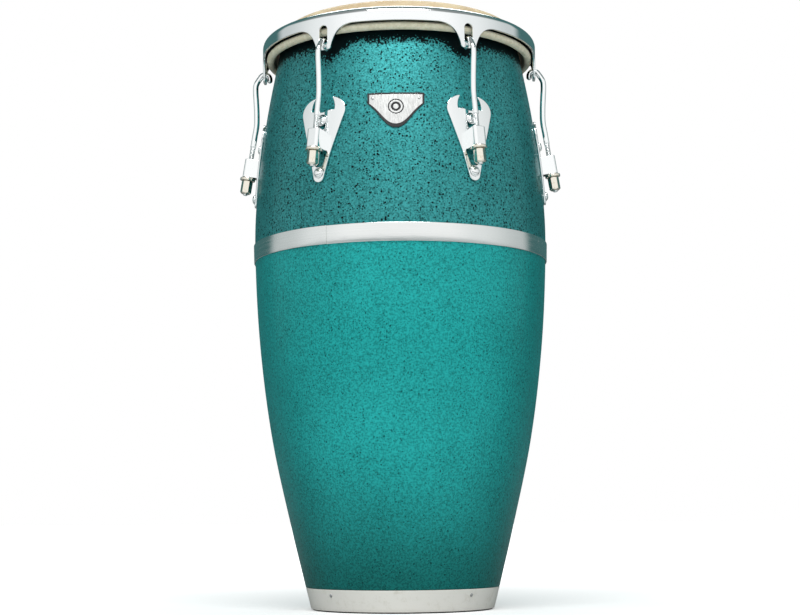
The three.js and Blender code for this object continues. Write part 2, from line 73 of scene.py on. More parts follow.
def reach(node_name):
    """How far a ring reaches from the axis, its lowest height and its highest."""
    low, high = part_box(node_name)
    return high.x, low.z, high.z


RIM_OUTER, EAR_BOTTOM, RIM_TOP = reach("crown_rim")
_, BAND_BOTTOM, BAND_TOP = reach("belly_band")
_, COLLAR_BOTTOM, COLLAR_TOP = reach("base_collar")
FOOT_OUTER, FLOOR_Z, FOOT_TOP = reach("foot_ring")
_, SLEEVE_BOTTOM, SLEEVE_TOP = reach("seam_sleeve")
HOOP_OUTER, HOOP_BOTTOM, HOOP_TOP = reach("flesh_hoop")
HEM_OUTER, HEM_BOTTOM, _ = reach("head_hem")
HEAD_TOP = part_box("drumhead")[1].z
SHELL_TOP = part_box("upper_shell")[1].z
PLATE_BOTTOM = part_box("side_plate_2")[0].z
PLATE_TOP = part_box("side_plate_2")[1].z
BACKING_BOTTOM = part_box("backing_plate_2")[0].z
BACKING_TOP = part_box("backing_plate_2")[1].z
BADGE_LOW, BADGE_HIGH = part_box("front_badge")
SEAM_Z = (BAND_BOTTOM + BAND_TOP) / 2

# The shell's curve: height and outer radius at the foot, flare, belly, shoulder and bearing edge.
SHELL_STATIONS = [
    (0, 0.112),
    (0.093, 0.135),
    (0.205, 0.1598),
    (0.317, 0.175),
    (0.430, 0.182),
    (0.500, 0.181),
    (0.606, 0.1688),
    (SHELL_TOP, 0.1461),
]
LAP_HALF = 11 * MM
BAND_SHEET = 1.3 * MM
COLLAR_SHEET = 1.5 * MM
COLLAR_BEAD = 0.7 * MM
RIVET_Z = 0.020
FOOT_WIDTH = 6.5 * MM
SLEEVE_SHEET = 4 * MM
BADGE_PIN_X = 27 * MM
BADGE_PIN_Z = 0.598
SHELL_WALL = 6 * MM
EDGE_ROUNDING = 12 * MM
EDGE_WALL = 14 * MM
EDGE_DEPTH = 30 * MM
EAR_SHADOW_DROP = 18 * MM  # how much further down the dark zone reaches beside a lug, as a painted shadow of the ear

RIM_SHEET = 2.9 * MM
RIM_ROLL = 9 * MM
RIM_INNER_ROLL = 4.5 * MM
RIM_LEG = RIM_OUTER - RIM_ROLL - RIM_INNER_ROLL
RIM_BAND_BOTTOM = RIM_TOP - 19 * MM
SLOT_HALF = 5.6 * MM
SLOT_BOTTOM = EAR_BOTTOM + 6.5 * MM
SLOT_TOP = RIM_TOP - 17.8 * MM

HEM_RADIUS = 4.9 * MM
HEM_CENTRE = (HEM_OUTER + 0.2 * MM - HEM_RADIUS, HEM_BOTTOM + HEM_RADIUS)
HOOP_RADIUS = (HOOP_TOP - HOOP_BOTTOM) / 2
SKIN = 1.6 * MM

ROD_RADIUS = 191.2 * MM
ROD_Z = 0.552
ROD_TILT = math.atan(0.16)
SHANK = 3.5 * MM
THREAD = 3.175 * MM
THREAD_ROOT = 2.7 * MM
PITCH = 1.27 * MM
HOOK_BEND = 6.1 * MM
HOOK_INSET = 0.25 * MM
HOOK_LIFT = 1.4 * MM
HOOK_TIP = 5 * MM
HOOK_WAIST = [(0.1828, 0.662), (0.1837, 0.654), (0.1829, 0.640), (0.1821, 0.624)]
THREAD_TOP = 0.580
ROD_HEIGHTS = (0.608, 0.594, THREAD_TOP)

PLATE_SHEET = 3 * MM
STRAP_HALF = 8 * MM
STRAP_SHEET = 2.6 * MM
STRAP_FRONT = 6.6 * MM
STRAP_BELOW = 11.8 * MM
STRAP_ABOVE = 11.4 * MM
WASHER_RADIUS = 9.5 * MM
WASHER_HEIGHT = 3.6 * MM
NUT_CORNER = 7.2 * MM
NUT_LENGTH = 16.8 * MM
BOLT_HEIGHTS = {"upper": 0.5755, "lower": 0.512}


# ---- The shell's curve -------------------------------------------------------------------------


def station_slope(i):
    z0, r0 = SHELL_STATIONS[max(i - 1, 0)]
    z1, r1 = SHELL_STATIONS[min(i + 1, len(SHELL_STATIONS) - 1)]
    return (r1 - r0) / (z1 - z0)


def shell_radius(z):
    """Outer radius of the shell at a height: a smooth cubic from station to station."""
    i = 0
    while i < len(SHELL_STATIONS) - 2 and z > SHELL_STATIONS[i + 1][0]:
        i += 1
    z0, r0 = SHELL_STATIONS[i]
    z1, r1 = SHELL_STATIONS[i + 1]
    span = z1 - z0
    t = (z - z0) / span
    start = (1 + 2 * t) * (1 - t) ** 2 * r0 + t * (1 - t) ** 2 * span * station_slope(i)
    end = t * t * (3 - 2 * t) * r1 + t * t * (t - 1) * span * station_slope(i + 1)
    return start + end


def shell_lean(z):
    step = 0.5 * MM
    return math.atan((shell_radius(z + step) - shell_radius(z - step)) / (2 * step))


def shell_line(bottom, top, offset, step=6 * MM):
    """Points (radius, height) up the shell, offset from its outer surface."""
    count = max(1, round((top - bottom) / step))
    heights = [bottom + (top - bottom) * i / count for i in range(count + 1)]
    return [(shell_radius(z) + offset, z) for z in heights]


# ---- Mesh making -------------------------------------------------------------------------------

SMOOTH_ANGLE = math.radians(38)


def mesh_from(name, verts, faces, smooth_angle=SMOOTH_ANGLE):
    """A mesh with its faces turned outwards, smooth except at sharp edges."""
    mesh = bpy.data.meshes.new(name)
    mesh.from_pydata(verts, [], faces)
    work = bmesh.new()
    work.from_mesh(mesh)
    bmesh.ops.remove_doubles(work, verts=work.verts, dist=1e-7)
    bmesh.ops.recalc_face_normals(work, faces=work.faces)
    work.to_mesh(mesh)
    work.free()
    mesh.shade_smooth()
    mesh.set_sharp_from_angle(angle=smooth_angle)
    return mesh


def show(name, mesh, body, materials, replaces=(), turn=0.0):
    """Puts a mesh in the scene as a piece that rides on a body and stands for some CAD nodes."""
    piece = bpy.data.objects.new(name, mesh)
    bpy.context.scene.collection.objects.link(piece)
    if not mesh.materials:
        for material in materials:
            mesh.materials.append(material)
    piece.rotation_euler.z = turn
    if body:
        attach(piece, body)
    if replaces:
        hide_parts(*replaces)
    return piece


def revolved(outline, segments=192, wobble=None):
    """Verts and faces of a closed (radius, height) outline turned about +Z."""
    verts = []
    rows = []
    for radius, height in outline:
        row = []
        for s in range(segments if radius > 1e-9 else 1):
            angle = TAU * s / segments
            r, z = (radius, height) if wobble is None else wobble(angle, radius, height)
            row.append(len(verts))
            verts.append((r * math.cos(angle), r * math.sin(angle), z))
        rows.append(row)
    faces = []
    on_axis = len(rows[0]) == 1
    pairs = list(zip(rows, rows[1:])) + ([] if on_axis else [(rows[-1], rows[0])])
    for low, high in pairs:
        for s in range(segments):
            t = (s + 1) % segments
            corners = [low[s % len(low)], low[t % len(low)], high[t % len(high)], high[s % len(high)]]
            unique = list(dict.fromkeys(corners))
            if len(unique) > 2:
                faces.append(unique)
    return verts, faces


def strip_faces(steps, sides):
    """Faces of a bar of closed sections, one after another, with both ends shut."""
    faces = []
    for i in range(steps):
        for s in range(sides):
            t = (s + 1) % sides
            faces.append([i * sides + s, i * sides + t, (i + 1) * sides + t, (i + 1) * sides + s])
    return [*faces, list(range(sides)), [steps * sides + s for s in range(sides)]]


def arc(cx, cy, radius, start, end, count=8):
    """Points along an arc, angles in degrees."""
    angles = [math.radians(start + (end - start) * i / count) for i in range(count + 1)]
    return [(cx + radius * math.cos(a), cy + radius * math.sin(a)) for a in angles]


def bezier(*controls, count=10):
    """Points along a quadratic or cubic curve, without its first point."""
    points = []
    for i in range(1, count + 1):
        level = [Vector(c) for c in controls]
        while len(level) > 1:
            level = [a.lerp(b, i / count) for a, b in zip(level, level[1:])]
        points.append(tuple(level[0]))
    return points


def rounded_outline(outline, rounding, count=3):
    """A closed outline with each corner cut by a small arc."""
    points = []
    for i, corner in enumerate(outline):
        here = Vector(corner)
        before = (Vector(outline[i - 1]) - here)
        after = (Vector(outline[(i + 1) % len(outline)]) - here)
        cut = min(rounding, before.length * 0.45, after.length * 0.45)
        start = here + before.normalized() * cut
        end = here + after.normalized() * cut
        points.append(tuple(start))
        points.extend(bezier(start, here, end, count=count))
    return points


def flat_sheet(loops, thickness, rounding):
    """A flat plate in millimetres, cut to an outline with holes, its edges rounded, as a bmesh."""
    curve = bpy.data.curves.new("outline", "CURVE")
    curve.dimensions = "2D"
    curve.fill_mode = "BOTH"
    curve.bevel_depth = rounding
    curve.bevel_resolution = 2
    curve.extrude = thickness / 2 - rounding
    curve.offset = -rounding
    for loop in loops:
        spline = curve.splines.new("POLY")
        spline.points.add(len(loop) - 1)
        for point, (x, y) in zip(spline.points, loop):
            point.co = (x, y, 0, 1)
        spline.use_cyclic_u = True
    holder = bpy.data.objects.new("outline", curve)
    bpy.context.scene.collection.objects.link(holder)
    mesh = bpy.data.meshes.new_from_object(holder.evaluated_get(bpy.context.evaluated_depsgraph_get()))
    flat = bmesh.new()
    flat.from_mesh(mesh)
    bpy.data.objects.remove(holder)
    bpy.data.curves.remove(curve)
    bpy.data.meshes.remove(mesh)
    bmesh.ops.remove_doubles(flat, verts=flat.verts, dist=1e-4)
    bmesh.ops.recalc_face_normals(flat, faces=flat.faces)
    return flat


def sliced(flat, across=(), up=()):
    """Cuts a flat plate into strips, so that it can bend smoothly."""
    for normal, places in (((1, 0, 0), across), ((0, 1, 0), up)):
        for place in places:
            geometry = flat.verts[:] + flat.edges[:] + flat.faces[:]
            point = [n * place for n in normal]
            bmesh.ops.bisect_plane(flat, geom=geometry, dist=1e-5, plane_co=point, plane_no=normal)
    return flat


def bent(name, flat, half, place):
    """Bends a flat plate: place(x, y, w) in metres gives a point and the directions along, up and out."""
    flat.normal_update()
    flat.verts.index_update()
    verts = []
    normals = []
    for v in flat.verts:
        flat_normal = v.normal
        if abs(abs(v.co.z) - half) < 1e-3:
            flat_normal = Vector((0, 0, math.copysign(1, v.co.z)))
        point, along, up, out = place(v.co.x * MM, v.co.y * MM, v.co.z * MM)
        verts.append(point)
        normals.append(along * flat_normal.x + up * flat_normal.y + out * flat_normal.z)
    faces = [[v.index for v in face.verts] for face in flat.faces]
    flat.free()
    mesh = bpy.data.meshes.new(name)
    mesh.from_pydata(verts, [], faces)
    mesh.shade_smooth()
    mesh.normals_split_custom_set_from_vertices(normals)
    return mesh


def spaced(low, high, step):
    count = max(1, round((high - low) / step))
    return [low + (high - low) * i / count for i in range(count + 1)]


class Path:
    """A flat path of points; it gives the point, direction and right-hand normal at a length along it."""

    def __init__(self, points):
        self.points = [Vector(p) for p in points]
        self.lengths = [0.0]
        for a, b in zip(self.points, self.points[1:]):
            self.lengths.append(self.lengths[-1] + (b - a).length)
        self.tangents = []
        last = len(self.points) - 1
        for i in range(last + 1):
            ahead = self.points[min(i + 1, last)] - self.points[max(i - 1, 0)]
            self.tangents.append(ahead.normalized())

    def at(self, s):
        i = 0
        while i < len(self.points) - 2 and s > self.lengths[i + 1]:
            i += 1
        t = (s - self.lengths[i]) / (self.lengths[i + 1] - self.lengths[i])
        point = self.points[i].lerp(self.points[i + 1], t)
        tangent = self.tangents[i].lerp(self.tangents[i + 1], min(max(t, 0), 1)).normalized()
        return point, tangent, Vector((tangent.y, -tangent.x))


def on_shell(offset):
    """Placing for a plate on the shell: x round the drum, y its height in millimetres, w outwards."""

    def place(x, y, w):
        radius = shell_radius(y)
        angle = x / radius
        lean = shell_lean(y)
        radial = Vector((math.cos(angle), math.sin(angle), 0))
        along = Vector((-math.sin(angle), math.cos(angle), 0))
        out = radial * math.cos(lean) - Vector((0, 0, math.sin(lean)))
        up = radial * math.sin(lean) + Vector((0, 0, math.cos(lean)))
        point = radial * radius + Vector((0, 0, y)) + out * (offset + w)
        return point, along, up, out

    return place


def shell_frame(z, angle=0.0):
    """Matrix that stands +Z square out of the shell at a height and angle."""
    place = Matrix.Translation((shell_radius(z), 0, z)) @ Matrix.Rotation(math.pi / 2 + shell_lean(z), 4, "Y")
    return Matrix.Rotation(angle, 4, "Z") @ place


ROD_FRAME = Matrix.Translation((ROD_RADIUS, 0, ROD_Z)) @ Matrix.Rotation(-ROD_TILT, 4, "Y")


def moved(verts, matrix):
    return [tuple(matrix @ Vector(v)) for v in verts]


# ---- Material making ---------------------------------------------------------------------------


def node(tree, kind, inputs=None, **settings):
    """Adds a shader node; inputs are values or the sockets that feed them."""
    made = tree.nodes.new(kind)
    for key, value in settings.items():
        setattr(made, key, value)
    for key, value in (inputs or {}).items():
        if isinstance(value, bpy.types.NodeSocket):
            tree.links.new(value, made.inputs[key])
        else:
            made.inputs[key].default_value = value
    return made


def new_material(name):
    material = bpy.data.materials.new(name)
    material.use_nodes = True
    tree = material.node_tree
    tree.nodes.clear()
    return material, tree


def finish_material(tree, **inputs):
    surface = node(tree, "ShaderNodeBsdfPrincipled", {k.replace("_", " "): v for k, v in inputs.items()})
    node(tree, "ShaderNodeOutputMaterial", {"Surface": surface.outputs[0]})
    return surface


def spot(tree, stretch=(1, 1, 1)):
    """Object coordinates, stretched."""
    place = node(tree, "ShaderNodeTexCoord").outputs["Object"]
    return node(tree, "ShaderNodeMapping", {"Vector": place, "Scale": stretch}).outputs[0]


def clouds(tree, scale, detail=4.0, roughness=0.55, vector=None, distortion=0.0):
    inputs = {"Scale": scale, "Detail": detail, "Roughness": roughness, "Distortion": distortion}
    inputs["Vector"] = vector or spot(tree)
    return node(tree, "ShaderNodeTexNoise", inputs).outputs["Fac"]


def ramp(tree, value, low, high, out_low=0.0, out_high=1.0):
    """Takes low..high smoothly to out_low..out_high."""
    inputs = {
        "Value": value,
        "From Min": low,
        "From Max": high,
        "To Min": out_low,
        "To Max": out_high,
    }
    return node(tree, "ShaderNodeMapRange", inputs, interpolation_type="SMOOTHSTEP").outputs[0]


def blended(tree, share, first, second, blend_type="MIX"):
    mix = node(tree, "ShaderNodeMix", data_type="RGBA", blend_type=blend_type)
    for socket, value in ((mix.inputs[0], share), (mix.inputs[6], first), (mix.inputs[7], second)):
        if isinstance(value, bpy.types.NodeSocket):
            tree.links.new(value, socket)
        else:
            socket.default_value = value if not isinstance(value, tuple) or len(value) == 4 else (*value, 1)
    return mix.outputs[2]


def maths(tree, operation, *values):
    made = node(tree, "ShaderNodeMath", operation=operation)
    for socket, value in zip(made.inputs, values):
        if isinstance(value, bpy.types.NodeSocket):
            tree.links.new(value, socket)
        else:
            socket.default_value = value
    return made.outputs[0]


def bumped(tree, height, distance, strength=1.0, normal=None):
    inputs = {"Height": height, "Distance": distance, "Strength": strength}
    if normal is not None:
        inputs["Normal"] = normal
    return node(tree, "ShaderNodeBump", inputs).outputs[0]


def spatter(tree, cell, cover, size, ragged):
    """Mask of ragged specks: cell is their spacing in metres, cover the share of cells that hold one."""
    place = spot(tree)
    shift = node(tree, "ShaderNodeTexNoise", {"Vector": place, "Scale": 1.3 / cell, "Detail": 2.0})
    pushed = node(
        tree,
        "ShaderNodeVectorMath",
        {0: shift.outputs["Color"], 1: (-0.5, -0.5, -0.5)},
        operation="ADD",
    )
    scaled = node(
        tree,
        "ShaderNodeVectorMath",
        {0: pushed.outputs[0], "Scale": cell * ragged},
        operation="SCALE",
    )
    where = node(tree, "ShaderNodeVectorMath", {0: place, 1: scaled.outputs[0]}, operation="ADD")
    cells = node(tree, "ShaderNodeTexVoronoi", {"Vector": where.outputs[0], "Scale": 1 / cell})
    chance = node(tree, "ShaderNodeSeparateColor", {"Color": cells.outputs["Color"]})
    radius = ramp(tree, chance.outputs[0], 1 - cover, 1.0, 0.0, size)
    edge = maths(tree, "SUBTRACT", radius, cells.outputs["Distance"])
    return ramp(tree, edge, 0.0, 0.09)


def height_share(tree, low, high):
    """0 below one height and 1 above the other."""
    place = node(tree, "ShaderNodeSeparateXYZ", {"Vector": spot(tree)})
    return ramp(tree, place.outputs[2], low, high)


# ---- Materials ---------------------------------------------------------------------------------


def ear_shadow_share(tree):
    """Share of the painted ear shadow: 1 in line with a lug, falling to 0 well before the middle between two
    lugs.
    """
    place = node(tree, "ShaderNodeSeparateXYZ", {"Vector": spot(tree)}).outputs
    angle = maths(tree, "ARCTAN2", place[1], place[0])
    from_lug = maths(tree, "SUBTRACT", angle, LUG_ANGLES[0])
    wave = maths(tree, "COSINE", maths(tree, "MULTIPLY", from_lug, LUGS))
    return maths(tree, "POWER", maths(tree, "MAXIMUM", wave, 0), 4)


def lacquer(name, deep, light, speck_and_shadow_colour, layers, spatter_and_rim_shadow=None, painted_foot_shade=None):
    """Gloss lacquer over fine flake: a mottled ground, specks in layers, orange peel and a clear coat.

    spatter_and_rim_shadow is the span of heights over which dark spatter closes up under the rim, together
    with a painted shadow of the rim and of the ears; painted_foot_shade is the span over which painted shade
    darkens the ground towards the foot.
    """
    material, tree = new_material(name)
    broad = clouds(tree, 9, 3)
    mottle = clouds(tree, 420, 3, 0.65)
    share = maths(tree, "ADD", ramp(tree, broad, 0.3, 0.7, 0, 0.2), ramp(tree, mottle, 0.36, 0.62, 0.15, 0.8))
    colour = blended(tree, share, deep, light)
    specks = None
    for cell, cover, size, ragged, weight in layers:
        layer = maths(tree, "MULTIPLY", spatter(tree, cell, cover, size, ragged), weight)
        specks = layer if specks is None else maths(tree, "MAXIMUM", specks, layer)
    # dark spatter closes up under the rim, together with a painted shadow of the rim
    if spatter_and_rim_shadow:
        low, high = spatter_and_rim_shadow
        height = node(tree, "ShaderNodeSeparateXYZ", {"Vector": spot(tree)}).outputs[2]
        # painted shadow of each ear: the dark zone reaches further down in line with the lugs
        reached = maths(tree, "ADD", height, maths(tree, "MULTIPLY", ear_shadow_share(tree), EAR_SHADOW_DROP))
        fade = ramp(tree, reached, low, high)
        stipple = maths(tree, "MULTIPLY", maths(tree, "SUBTRACT", clouds(tree, 420, 2, 0.6), 0.5), 2.4)
        grain = maths(tree, "ADD", stipple, clouds(tree, 150, 3, 0.6))
        threshold = maths(tree, "SUBTRACT", maths(tree, "MULTIPLY", fade, 1.6), grain)
        specks = maths(tree, "MAXIMUM", specks, ramp(tree, threshold, -0.06, 0.1, 0, 0.99))
    colour = blended(tree, specks, colour, speck_and_shadow_colour)
    # painted shade: the ground darkens towards the foot
    if painted_foot_shade:
        shade = height_share(tree, *painted_foot_shade)
        colour = blended(tree, shade, blended(tree, 1.0, colour, (0.55, 0.5, 0.48, 1), "MULTIPLY"), colour)
    scuffs = ramp(tree, clouds(tree, 35, 6, 0.7), 0.6, 0.8, 0.0, 0.1)
    peel = bumped(tree, clouds(tree, 330, 2), 0.00012, 0.5)
    relief = bumped(tree, specks, 0.00012, 0.6, peel)
    finish_material(
        tree,
        Base_Color=colour,
        Metallic=ramp(tree, specks, 0, 1, 0.7, 0),
        Roughness=maths(tree, "ADD", scuffs, 0.46),
        Specular_IOR_Level=ramp(tree, specks, 0, 1, 0.15, 0.03),
        Normal=relief,
        Coat_Weight=ramp(tree, specks, 0, 1, 0.2, 0.03),
        Coat_Roughness=maths(tree, "ADD", scuffs, 0.2),
        Coat_Normal=peel,
    )
    return material


def polished(name, colour, roughness=(0.04, 0.14), tarnish=None, metallic=1.0):
    """Bright plated metal with faint smears and waviness, and stains where it has tarnished."""
    material, tree = new_material(name)
    smear = clouds(tree, 60, 5, 0.65)
    fine = clouds(tree, 900, 2)
    base = colour if len(colour) == 4 else (*colour, 1)
    if tarnish:
        stain = ramp(tree, clouds(tree, 240, 6, 0.7), 0.52, 0.78, 0.0, 0.75)
        base = blended(tree, stain, base, tarnish)
    wave = bumped(tree, clouds(tree, 45, 2), 0.0004, 0.05)
    pits = bumped(tree, fine, 0.00002, 0.15, wave)
    finish_material(
        tree,
        Base_Color=base,
        Metallic=metallic,
        Roughness=ramp(tree, smear, 0.3, 0.75, *roughness),
        Normal=pits,
    )
    return material


def brushed(name, colour, roughness=(0.16, 0.34), stretch=(6, 6, 900), depth=0.00003):
    """Metal with fine lines running round the drum."""
    material, tree = new_material(name)
    lines = clouds(tree, 1.0, 4, 0.6, vector=spot(tree, stretch))
    wear = clouds(tree, 40, 5, 0.7)
    shade = maths(tree, "ADD", maths(tree, "MULTIPLY", lines, 0.16), 0.86)
    tint = node(tree, "ShaderNodeCombineColor", {0: shade, 1: shade, 2: shade}).outputs[0]
    base = blended(tree, 1.0, (*colour, 1), tint, "MULTIPLY")
    shine = ramp(tree, lines, 0.3, 0.7, *roughness)
    worn = ramp(tree, wear, 0.55, 0.8, 0, 0.15)
    finish_material(
        tree,
        Base_Color=base,
        Metallic=1.0,
        Roughness=maths(tree, "ADD", shine, worn),
        Normal=bumped(tree, lines, depth, 0.5),
    )
    return material


def hide():
    """Natural skin: cream with tan clouds, fine fibres and faint veins, thicker and yellower at the hem."""
    material, tree = new_material("natural_hide")
    broad = clouds(tree, 14, 5, 0.6, distortion=1.2)
    fine = clouds(tree, 160, 5, 0.7)
    pores = clouds(tree, 900, 3, 0.6)
    vein_noise = clouds(tree, 11, 3, 0.5, distortion=0.8)
    vein_lines = maths(tree, "ABSOLUTE", maths(tree, "SUBTRACT", vein_noise, 0.5))
    veins = ramp(tree, vein_lines, 0.0, 0.018, 0.3, 0.0)
    colour = blended(tree, ramp(tree, broad, 0.32, 0.68), (0.56, 0.43, 0.26, 1), (0.68, 0.57, 0.38, 1))
    colour = blended(tree, ramp(tree, fine, 0.45, 0.75, 0, 0.5), colour, (0.47, 0.34, 0.19, 1))
    colour = blended(tree, veins, colour, (0.5, 0.34, 0.2, 1))
    low = height_share(tree, HEM_BOTTOM + 8 * MM, RIM_TOP - 6 * MM)
    hem_colour = blended(tree, ramp(tree, fine, 0.35, 0.7), (0.70, 0.66, 0.48, 1), (0.86, 0.83, 0.66, 1))
    colour = blended(tree, low, hem_colour, colour)
    grain = bumped(tree, pores, 0.00015, 0.35)
    relief = bumped(tree, fine, 0.0006, 0.25, grain)
    finish_material(
        tree,
        Base_Color=colour,
        Roughness=ramp(tree, broad, 0.3, 0.7, 0.48, 0.68),
        Normal=relief,
        Subsurface_Weight=0.08,
        Subsurface_Radius=(0.004, 0.002, 0.001),
    )
    return material


def glass_mat():
    """The bare inside of the shell: resin over chopped strands."""
    material, tree = new_material("glass_mat")
    strands = clouds(tree, 120, 6, 0.75, vector=spot(tree, (1, 1, 0.35)), distortion=2.5)
    blotch = clouds(tree, 18, 4)
    colour = blended(tree, ramp(tree, strands, 0.35, 0.65), (0.20, 0.17, 0.10, 1), (0.46, 0.41, 0.28, 1))
    colour = blended(tree, ramp(tree, blotch, 0.4, 0.7, 0, 0.4), colour, (0.13, 0.11, 0.07, 1))
    finish_material(
        tree,
        Base_Color=colour,
        Roughness=ramp(tree, strands, 0.3, 0.7, 0.35, 0.65),
        Normal=bumped(tree, strands, 0.0012, 0.6),
    )
    return material


def enamelled(name, colour, grime, roughness=0.38):
    """Painted metal with a little grime and chipping in random patches."""
    material, tree = new_material(name)
    dirt = ramp(tree, clouds(tree, 55, 6, 0.7), 0.5, 0.8, 0, 0.55)
    specks = ramp(tree, clouds(tree, 520, 3, 0.6), 0.69, 0.76, 0, 0.6)
    tone = clouds(tree, 12, 3)
    base = blended(tree, ramp(tree, tone, 0.3, 0.7, 0, 0.5), (*colour, 1), tuple(c * 0.93 for c in colour))
    base = blended(tree, dirt, base, (*grime, 1))
    base = blended(tree, specks, base, tuple(c * 0.35 for c in grime))
    finish_material(
        tree,
        Base_Color=base,
        Roughness=maths(tree, "ADD", dirt, roughness),
        Normal=bumped(tree, clouds(tree, 420, 3), 0.00008, 0.4),
        Coat_Weight=0.25,
        Coat_Roughness=0.25,
    )
    return material


def soft_rubber():
    material, tree = new_material("foot_rubber")
    grain = clouds(tree, 700, 4, 0.7)
    dust = ramp(tree, clouds(tree, 60, 5, 0.7), 0.45, 0.75, 0, 0.5)
    colour = blended(tree, dust, (0.014, 0.014, 0.014, 1), (0.075, 0.072, 0.066, 1))
    finish_material(
        tree,
        Base_Color=colour,
        Roughness=ramp(tree, grain, 0.3, 0.7, 0.65, 0.9),
        Normal=bumped(tree, grain, 0.0002, 0.5),
    )
    return material


TEAL_DEEP = (0.004, 0.10, 0.10, 1)
TEAL_LIGHT = (0.05, 0.37, 0.38, 1)
MATERIAL = {
    "upper": lacquer(
        "spattered_lacquer_upper",
        TEAL_DEEP,
        TEAL_LIGHT,
        (0.002, 0.006, 0.007, 1),
        [(4.2 * MM, 0.85, 0.36, 0.5, 1.0), (2.8 * MM, 0.8, 0.4, 0.5, 1.0), (1.8 * MM, 0.6, 0.44, 0.5, 0.8)],
        # dark spatter under the rim with a painted shadow of the rim and ears, in the near-black speck colour
        spatter_and_rim_shadow=(0.657, 0.694),
    ),
    "lower": lacquer(
        "spattered_lacquer_lower",
        (0.004, 0.20, 0.19, 1),
        (0.02, 0.50, 0.49, 1),
        (0.002, 0.04, 0.04, 1),
        [(4.0 * MM, 0.4, 0.32, 0.5, 0.8), (2.4 * MM, 0.6, 0.38, 0.5, 0.7), (1.6 * MM, 0.5, 0.42, 0.5, 0.6)],
        # painted shade darkening the lower lacquer towards the foot
        painted_foot_shade=(0.02, 0.20),
    ),
    "glass": glass_mat(),
    "chrome": polished("polished_chrome", (0.93, 0.95, 0.95)),
    # dark plating for the inside of the rim's channel: painted shade where the chrome lies in shadow
    "channel": polished("dark_shade_plating", (0.05, 0.075, 0.075), (0.35, 0.5)),
    "band": brushed("bright_band", (0.86, 0.88, 0.87), (0.10, 0.22)),
    "nickel": polished("nickel_plate", (0.84, 0.80, 0.70), (0.08, 0.26), (0.46, 0.34, 0.18, 1)),
    "steel": polished("plain_steel", (0.52, 0.53, 0.53), (0.22, 0.42), (0.28, 0.22, 0.17, 1)),
    "zinc": brushed("zinc_plate", (0.56, 0.57, 0.58), (0.3, 0.5), (30, 30, 300)),
    "collar": enamelled("cream_enamel", (0.94, 0.93, 0.87), (0.58, 0.55, 0.44)),
    "rubber": soft_rubber(),
    "badge": brushed("badge_silver", (0.72, 0.73, 0.72), (0.2, 0.36), (900, 900, 8)),
    "enamel": enamelled("black_enamel", (0.012, 0.012, 0.014), (0.05, 0.05, 0.05), 0.2),
    "hide": hide(),
}


# ---- Shell, band and foot ----------------------------------------------------------------------


def two_faced(mesh, is_inside):
    """Gives the second material to the faces whose centres pass the test."""
    for face in mesh.polygons:
        face.material_index = 1 if is_inside(face.center) else 0


def inside_shell(margin):
    """A test for points further than the margin inside the shell's outer surface."""

    def test(centre):
        return math.hypot(centre.x, centre.y) < shell_radius(centre.z) - margin

    return test


def edge_arc(offset, count=12):
    """The bearing edge's rounding, or a layer lying on it, from the outside to the top."""
    shoulder = SHELL_TOP - EDGE_ROUNDING
    middle = shell_radius(shoulder) - EDGE_ROUNDING
    return arc(middle, shoulder, EDGE_ROUNDING + offset, 0, 90, count)


def make_upper_shell():
    """It thickens inwards to a rounded bearing edge."""
    bottom = SEAM_Z + GAP / 2
    shoulder = SHELL_TOP - EDGE_ROUNDING
    lip = shell_radius(shoulder) - EDGE_WALL
    inside = [(lip + 1 * MM, SHELL_TOP), (lip, SHELL_TOP - 1 * MM), (lip, shoulder)]
    inside += list(reversed(shell_line(bottom, SHELL_TOP - EDGE_DEPTH, -SHELL_WALL)))
    outline = shell_line(bottom, shoulder - 2 * MM, 0) + edge_arc(0) + inside
    mesh = mesh_from("upper_shell_body", *revolved(outline, 240))
    surfaces = [MATERIAL["upper"], MATERIAL["glass"]]
    show("upper_shell_body", mesh, "drum", surfaces, ["upper_shell"])
    two_faced(mesh, inside_shell(1.5 * MM))


def make_lower_shell():
    """It steps inwards at the foot, where the collar lies on it."""
    foot = FOOT_TOP + GAP
    step = COLLAR_TOP + GAP
    rebate = -1.8 * MM
    outline = shell_line(foot, step, rebate)
    outline += [(shell_radius(step) - 0.5 * MM, step), (shell_radius(step + 0.5 * MM), step + 0.5 * MM)]
    outline += shell_line(step + 2 * MM, SEAM_Z - GAP / 2, 0)
    outline += list(reversed(shell_line(foot, SEAM_Z - GAP / 2, -SHELL_WALL)))
    mesh = mesh_from("lower_shell_body", *revolved(outline, 240))
    surfaces = [MATERIAL["lower"], MATERIAL["glass"]]
    show("lower_shell_body", mesh, "drum", surfaces, ["lower_shell"])
    two_faced(mesh, inside_shell(3 * MM))


def make_seam_sleeve():
    """The ring inside the joint of the two shells."""
    outer = -SHELL_WALL - GAP
    outline = shell_line(SLEEVE_BOTTOM, SLEEVE_TOP, outer)
    outline += list(reversed(shell_line(SLEEVE_BOTTOM, SLEEVE_TOP, outer - SLEEVE_SHEET)))
    mesh = mesh_from("joint_sleeve", *revolved(outline))
    show("joint_sleeve", mesh, "drum", [MATERIAL["glass"]], ["seam_sleeve"])


